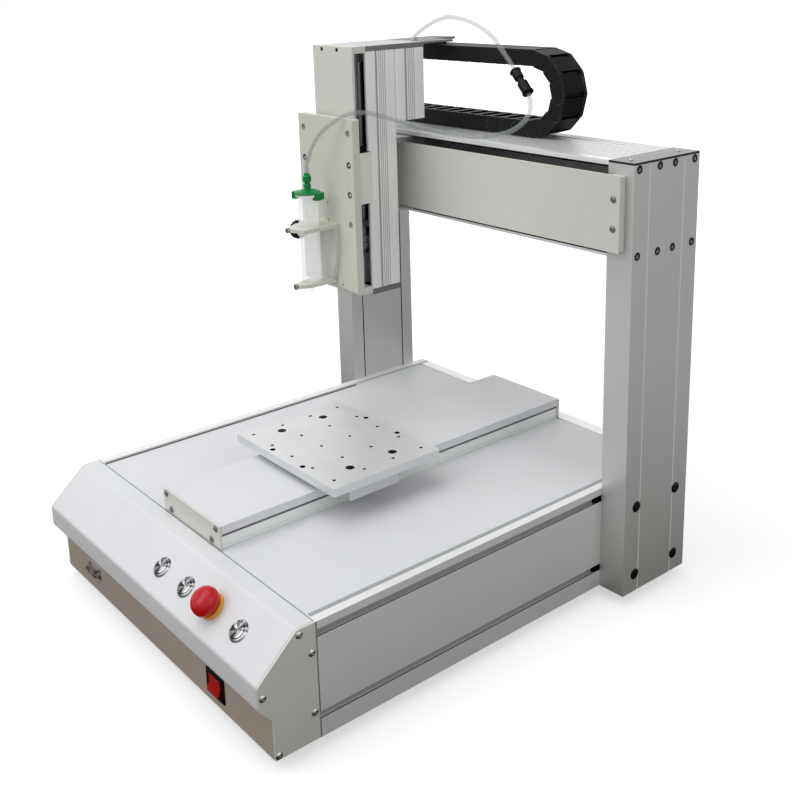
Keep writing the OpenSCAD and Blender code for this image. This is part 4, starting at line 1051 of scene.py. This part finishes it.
@dataclass
class Gantry(Assembly):
    """Two columns, the beam with its cover, and the X carriage."""

    finishes: dict = given({
        "column_left": (DRAWN_Z, 0.6), "column_right": (DRAWN_Z, 0.6), "column_caps": (POLISHED, 0.4),
        "column_plugs": (BLACK_ABS, 0.5), "column_bolts": (BLACK_OXIDE, 0.3), "beam_body": (DRAWN_X, 0.2),
        "beam_cover": (CREAM_COAT, 0.5), "x_carriage": (MILLED, 0.5)})
    accents: dict = given({
        # Painted highlights on the edges of the outer sides' grooves and painted shade in the inner grooves,
        # alike on both columns
        **{"column_" + side: [
            *(accent for y in (476.0, 535.0) for accent in both_sides(
                EDGE_HIGHLIGHT_Z, (262.4, y - 1.1, 0), (267.45, y + 1.1, 501))),
            *(accent for y in (469.5, 541.5) for accent in both_sides(
                GROOVE_SHADE_DARK, (232.9, y - 1.1, 0), (234.3, y + 1.1, 501)))] for side in ("right", "left")},
        # Painted highlight on only the walls of each socket on the lit side
        "column_bolts": [accent for y in (458.5, 492.5, 518.5, 552.5) for z in (402.0, 495.5)
                         for accent in both_sides(SOCKET_HIGHLIGHT, (265.5, y - 0.5, z - 5), (266.5, y + 5, z + 0.5))],
        # Painted shade in the hollow front of the beam and in the grooves on its top
        "beam_body": [Accent(DEEP_SHADE_AND_CHIP_BLACK, (-240, 449.9, 401.4), (240, 525.1, 497.7)),
                      Accent(GROOVE_SHADE_X, (-240, 455, 502.0), (240, 558, 502.9))]})


@dataclass
class ZHead(Assembly):
    """Z module: extrusions, cover, end plates, rails, screw, coupling, motor and carriage."""

    axis: tuple[float, float] = (HEAD_X, 385.0)
    coupling_r: float = 9.5
    clamp_z: tuple[float, float] = (361.6, 371.2)
    clamp_turn: float = 39.0
    clamp_sink: float = 0.7
    clamp_profile: Profile = ((2.1, 0), (2.1, 1.0), (1.8, 1.3), (1.1, 1.3), (1.0, 0.4), (0.01, 0.3))
    cover_x: tuple[float, float] = (-133.0, -102.0)
    cover_y: float = 345.2
    cover_z: tuple[float, float] = (612.0, 314.0)
    cover_profile: Profile = ((1.5, -1.2), (2.3, 0), (2.2, 0.5), (1.4, 0.9), (0.9, 0.9), (0.8, 0.3),
                              (0.01, 0.2))
    finishes: dict = given({
        "z_body": (PALE_Z, 0.15), "z_rear_box": (PALE_Z, 0.15), "z_cover": (CREAM_COAT, 0.5),
        # The rails are painted near black for the shade in the head's slots
        "z_end_plates": (MILLED, 0.4), "z_rails": (DEEP_SHADE_AND_CHIP_BLACK, 0.4), "z_screw": (GROUND, 0.3),
        "z_coupling": (BLASTED, 0.4), "z_motor": (BLASTED, 0.5), "z_carriage": (WHITE_ENAMEL, 0.8)})
    # Painted shade in the hollow side slots, the grooves and the carriage's inside, painted highlights
    # on the extrusions' edges, and the end plates' dark sides and rear
    accents: dict = given({
        "z_body": [Accent(DEEP_SHADE_AND_CHIP_BLACK, (-147.85, 365.7, 300), (-76.15, 406.55, 620)),
                   *both_sides(GROOVE_SHADE_Z, (-74, 369, 300), (-72.3, 410, 620), HEAD_X),
                   *both_sides(EDGE_HIGHLIGHT_Z, (-74.8, 365.6, 300), (-72.21, 367.8, 620), HEAD_X)],
        "z_rear_box": [*both_sides(GROOVE_SHADE_Z, (-74, 415.5, 300), (-72.3, 456, 620), HEAD_X),
                       *both_sides(EDGE_HIGHLIGHT_Z, (-74.8, 412.1, 300), (-72.21, 414.3, 620), HEAD_X)],
        "z_carriage": [Accent(DEEP_SHADE_AND_CHIP_BLACK, (-200, 363.6, 400), (0, 460, 520))],
        "z_end_plates": both_sides(DARK_MILLED, (-72.3, 340, 300), (-72.1, 459, 620), HEAD_X)
        + [Accent(DARK_MILLED, (-160, 457.9, 560), (-60, 580, 620))]})
    cuts: dict = given({"z_end_plates": [(Axis.Y, 458.0)]})

    def cover_screws(self) -> None:
        """Models the four small dark screws of the cover."""
        feet = [at(x, self.cover_y, z) for x in self.cover_x for z in self.cover_z]
        self.small_parts("cover_screws", self.cover_profile, feet, TO_OPERATOR, 20, BLACK_OXIDE, "z_cover")

    def clamp_screws(self) -> None:
        """Models the coupling's two small socket screws, a little sunk in its side."""
        turn = math.radians(self.clamp_turn)
        out = Vector((math.cos(turn), -math.sin(turn), 0))
        feet = [at(*self.axis, z) + out * (self.coupling_r - self.clamp_sink) * MM for z in self.clamp_z]
        self.small_parts("coupling_screws", self.clamp_profile, feet, out, 24, STAINLESS, "z_coupling")

    def build(self) -> None:
        """Makes the Z module."""
        super().build()
        self.clamp_screws()
        self.cover_screws()


@dataclass
class Tool(Assembly):
    """Tool plate with its bolts, the syringe bracket, barrel, cap and clamp knob."""

    barrel_axis: tuple[float, float] = (HEAD_X, 300.0)
    # Inner wall from the nozzle's bore up, flange, and outer wall down to the nozzle's tip
    barrel_profile: Profile = (
        (0.9, 325.6), (3.2, 328.6), (7.2, 331.2), (10, 332.7), (11.1, 334.4), (11.1, 441), (15.2, 441),
        (15.2, 438), (13, 437.7), (12.7, 437.2), (12.7, 333.6), (12.3, 332.5), (11.4, 331.4), (9.4, 330.3),
        (6.9, 328.9), (5, 327.7), (4.55, 327), (4.55, 325.2), (4.3, 324.9), (2.5, 324.5), (2.4, 323),
        (2.2, 316.3), (2.0, 316), (0.01, 316))
    finishes: dict = given({
        "tool_plate": (TOOL_COAT, 0.5), "tool_bolts": (BLACK_OXIDE, 0.3),
        "syringe_bracket": (TOOL_COAT, 0.5), "syringe_cap": (GREEN_CAP, 0.5),
        "clamp_knob": (BLACK_ABS, 0.3)})
    # Painted highlight inside the sockets on their lit side, and the bracket's end screws
    accents: dict = given({
        "tool_bolts": [Accent(SOCKET_HIGHLIGHT, (-200, 330.7, 410), (0, 332.7, 540)),
                       Accent(STAINLESS, (-130, 260, 300), (-90, 290, 410))]})

    def build(self) -> None:
        """Makes the tool, with a thin walled barrel that has its flange, cone and nozzle."""
        super().build()
        barrel = Bench.turned("syringe_barrel_turned", self.barrel_profile, at(*self.barrel_axis, 0), UP,
                              sides=64)
        self.stand_in(barrel, MILKY_BARREL, "syringe_barrel")


@dataclass
class CableChain(Assembly):
    """Cable carrier: two stretches and a bend between them.

    Its lengths are metres in the part's frame, and its softened edges are millimetres.
    """

    bend_x: float = 0.066
    upper_start: float = -0.151
    lower_start: float = -0.205
    middle: tuple[float, float] = (0.2375, 0.562)
    edge_mm: float = 0.5

    def build(self) -> None:
        """Makes the stretches as copies with their place baked in, and the bend's links on their bodies."""
        everywhere = (-400, 0, 0), (400, 900, 900)
        sides = [Accent(NYLON_SIDE, *everywhere, Axis.Y),
                 # Painted highlight on the links' rounded edges
                 Accent(NYLON_EDGE_HIGHLIGHT, *everywhere, Axis.Y, (0.3, 0.95))]
        for node, body, end, start in (("chain_upper", "head", "chain_top", self.upper_start),
                                       ("chain_lower", "base", "chain_bottom", self.lower_start)):
            piece = NodeCopy(node, BLACK_NYLON, self.edge_mm, sides).build()
            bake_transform(piece)
        for node in ("chain_bend_upper", "chain_bend_lower"):
            self.shell(node, BLACK_NYLON, self.edge_mm, sides)


@dataclass
class AirTube(Assembly):
    """Clear air tube in two lengths with an inline connector between them.

    The routes are the source's own, in the base frame; radius and wall are metres.
    """

    radius: float = 0.003
    wall: float = 0.001
    steps: int = 6
    upper: Sequence[Point] = (
        (-106, 470, 620), (-88, 474, 632), (-65, 476, 641.5), (-45, 478, 645), (-20, 480, 642), (4, 482, 634),
        (24, 483, 623), (39, 484, 608), (52, 484, 595), (61.5, 483, 585))
    lower: Sequence[Point] = (
        (90, 477.3, 560), (97, 473, 549), (100, 468, 540), (99, 462, 532), (94, 457, 525), (86, 451, 519),
        (74, 446, 515), (49, 438, 511), (25, 428, 511), (3, 416, 514), (-17, 402, 519.5), (-37, 388, 526.5),
        (-50, 374, 532.5), (-60, 361, 537), (-64, 348, 539), (-68, 337, 538.5), (-71, 328.5, 536.5),
        (-76.5, 321.5, 531.5), (-85.5, 312.5, 522.5), (-95, 307, 511.5), (-102.5, 303, 499),
        (-107, 301, 487), (-111, 300.2, 479.5), (-112, 300, 474), (-112, 300, 470), (-112, 300, 466.1))
    finishes: dict = given({"tube_fittings": (BLACK_ABS, 0.5)})
    accents: dict = given({
        "tube_fittings": [Accent(PALE_ACETAL, (-112, 464, 615.9), (-100, 476, 621))]})

    def smooth(self, route: Sequence[Point]) -> list[Vector]:
        """Runs the source's own smooth curve through a route.

        Args:
            route: Points of the base frame, in millimetres.

        Returns:
            Points of the part's frame, in metres.
        """
        knots = [at(*p) for p in route]
        made = []
        for i in range(len(knots) - 1):
            a, b = knots[max(i - 1, 0)], knots[i]
            c, d = knots[i + 1], knots[min(i + 2, len(knots) - 1)]
            for k in range(self.steps):
                t = k / self.steps
                made.append(0.5 * (2 * b + (c - a) * t + (2 * a - 5 * b + 4 * c - d) * t * t
                                   + (3 * b - a - 3 * c + d) * t * t * t))
        return made + [knots[-1]]

    def build(self) -> None:
        """Makes the fittings and both tubes; the upper tube rides on the head."""
        for name, route in (("air_tube_upper", self.upper), ("air_tube_lower", self.lower)):
            points = self.smooth(route)
            tube = Bench.tube(name, points, self.radius, self.wall)
            dress(tube, CLEAR_TUBE)
            if route is self.upper:
                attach(tube, "head")
            else:
                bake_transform(tube)
            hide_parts("air_tube")
        super().build()


@dataclass
class Studio:
    """Camera at the photograph's viewpoint, a pale floor and soft lamps."""

    # Camera: place in the base frame, angles in degrees, focal length and image centre in pixels
    eye: Point = (978.3, -442.1, 703.4)
    azimuth: float = 51.3247
    elevation: float = 14.4523
    roll: float = -1.6222
    focal: float = 1092.843
    centre: tuple[float, float] = (392.588, 251.540)
    pixels: int = 800
    sensor_mm: float = 36.0
    # Floor: side length, drop under the feet, and reach and colour of the shade that it throws back up
    floor_side: float = 24.0
    floor_drop: float = 0.0005
    floor_shade: tuple = ((0.42, (0.1, 0.078, 0.062, 1)), (0.95, (0.5, 0.5, 0.5, 1)))
    # Softboxes: name, place, aim, side length and power in watts
    lamps: tuple = (("top_softbox", (-0.5, -0.5, 2.6), (0, 0, 0.2), 2.2, 24),
                    ("front_softbox", (-0.6, -2.3, 1.9), (0, 0, 0.3), 1.8, 22),
                    ("side_softbox", (2.6, 0.3, 1.7), (0, 0, 0.2), 1.8, 10.5))

    def camera(self) -> None:
        """Adds the camera and makes it the scene's."""
        a, e, r = (math.radians(v) for v in (self.azimuth, self.elevation, self.roll))
        back = Vector((math.sin(a) * math.cos(e), -math.cos(a) * math.cos(e), math.sin(e)))
        right = (-back).cross(UP).normalized()
        up = right.cross(-back)
        side = math.cos(r) * right + math.sin(r) * up
        top = -math.sin(r) * right + math.cos(r) * up
        data = bpy.data.cameras.new("view")
        data.sensor_width = self.sensor_mm
        data.lens = self.focal / self.pixels * self.sensor_mm
        data.shift_x = 0.5 - self.centre[0] / self.pixels
        data.shift_y = self.centre[1] / self.pixels - 0.5
        data.clip_end = 50
        camera = Bench.add("view", data)
        turn = Matrix((side, top, back)).transposed().to_4x4()
        camera.matrix_world = Matrix.Translation(at(*self.eye)) @ turn
        bpy.context.scene.camera = camera

    def world(self) -> None:
        """Lights softly from all round and shows white to the camera and to reflections."""
        world = bpy.data.worlds.new("studio")
        bpy.context.scene.world = world
        world.use_nodes = True
        tree = world.node_tree
        tree.nodes.clear()
        path = add_node(tree, "LightPath")
        seen = add_node(tree, "Math", {"operation": "MAXIMUM"}, {
            0: path.outputs["Is Camera Ray"], 1: path.outputs["Is Glossy Ray"]})
        seen = add_node(tree, "Math", {"operation": "MAXIMUM"}, {
            0: seen.outputs[0], 1: path.outputs["Is Transmission Ray"]})
        soft = add_node(tree, "Background", inputs={"Color": (0.96, 0.98, 1, 1), "Strength": 0.5})
        white = add_node(tree, "Background", inputs={"Color": (1, 1, 1, 1), "Strength": 1.0})
        mix = add_node(tree, "MixShader", inputs={
            0: seen.outputs[0], 1: soft.outputs[0], 2: white.outputs[0]})
        add_node(tree, "OutputWorld", inputs={"Surface": mix.outputs[0]})

    def floor(self) -> None:
        """Adds a floor that is white to the camera but for the shadow, and throws little light back."""
        Bench.clear()
        bpy.ops.mesh.primitive_plane_add(size=self.floor_side, location=(0, 0, -self.floor_drop))
        floor = bpy.context.object
        floor.name = "floor"
        material = bpy.data.materials.new("studio_floor")
        material.use_nodes = True
        tree = material.node_tree
        tree.nodes.clear()
        coords = add_node(tree, "TexCoord").outputs["Object"]
        reach = add_node(tree, "VectorMath", {"operation": "LENGTH"}, {0: coords})
        shade = add_node(tree, "ValToRGB", inputs={"Fac": reach.outputs["Value"]})
        for stop, (place, color) in zip(shade.color_ramp.elements, self.floor_shade):
            stop.position, stop.color = place, color
        matt = add_node(tree, "BsdfDiffuse", inputs={"Color": shade.outputs[0]})
        shine = add_node(tree, "BsdfDiffuse", inputs={"Color": (0.62, 0.62, 0.62, 1)})
        level = add_node(tree, "MapRange", {"interpolation_type": "SMOOTHSTEP"}, {
            "Value": reach.outputs["Value"], "From Min": 0.5, "From Max": 2.0, "To Min": 0.55, "To Max": 1.0})
        glow = add_node(tree, "Emission", inputs={"Strength": level.outputs[0]})
        bright = add_node(tree, "AddShader", inputs={0: shine.outputs[0], 1: glow.outputs[0]})
        path = add_node(tree, "LightPath")
        mix = add_node(tree, "MixShader", inputs={
            0: path.outputs["Is Camera Ray"], 1: matt.outputs[0], 2: bright.outputs[0]})
        add_node(tree, "OutputMaterial", inputs={"Surface": mix.outputs[0]})
        floor.data.materials.append(material)

    def lamp(self, name: str, place: Point, aim: Point, size: float, power: float) -> None:
        """Adds one square softbox.

        Args:
            name: Name of the lamp.
            place: Where it stands.
            aim: Point that it faces.
            size: Side length.
            power: Power in watts.
        """
        data = bpy.data.lights.new(name, "AREA")
        data.size = size
        data.energy = power
        lamp = Bench.add(name, data)
        lamp.location = place
        lamp.rotation_mode = "QUATERNION"
        lamp.rotation_quaternion = (Vector(aim) - Vector(place)).to_track_quat("-Z", "Y")

    def build(self) -> None:
        """Makes camera, world, floor and lamps."""
        self.camera()
        self.world()
        self.floor()
        for name, place, aim, size, power in self.lamps:
            self.lamp(name, place, aim, size, power)
        bpy.context.scene.view_settings.view_transform = "Standard"


def main() -> None:
    """Builds the studio, the cord and every sub-assembly in order."""
    logging.basicConfig(level=logging.INFO, format="%(name)s: %(message)s")
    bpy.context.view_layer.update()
    for part in (Studio(), AirTube(), Base(), Console(), Drives(), YAxis(), Gantry(), ZHead(), Tool(),
                 CableChain()):
        part.build()
        log.info("built %s", type(part).__name__)


if __name__ == "__main__":
    main()
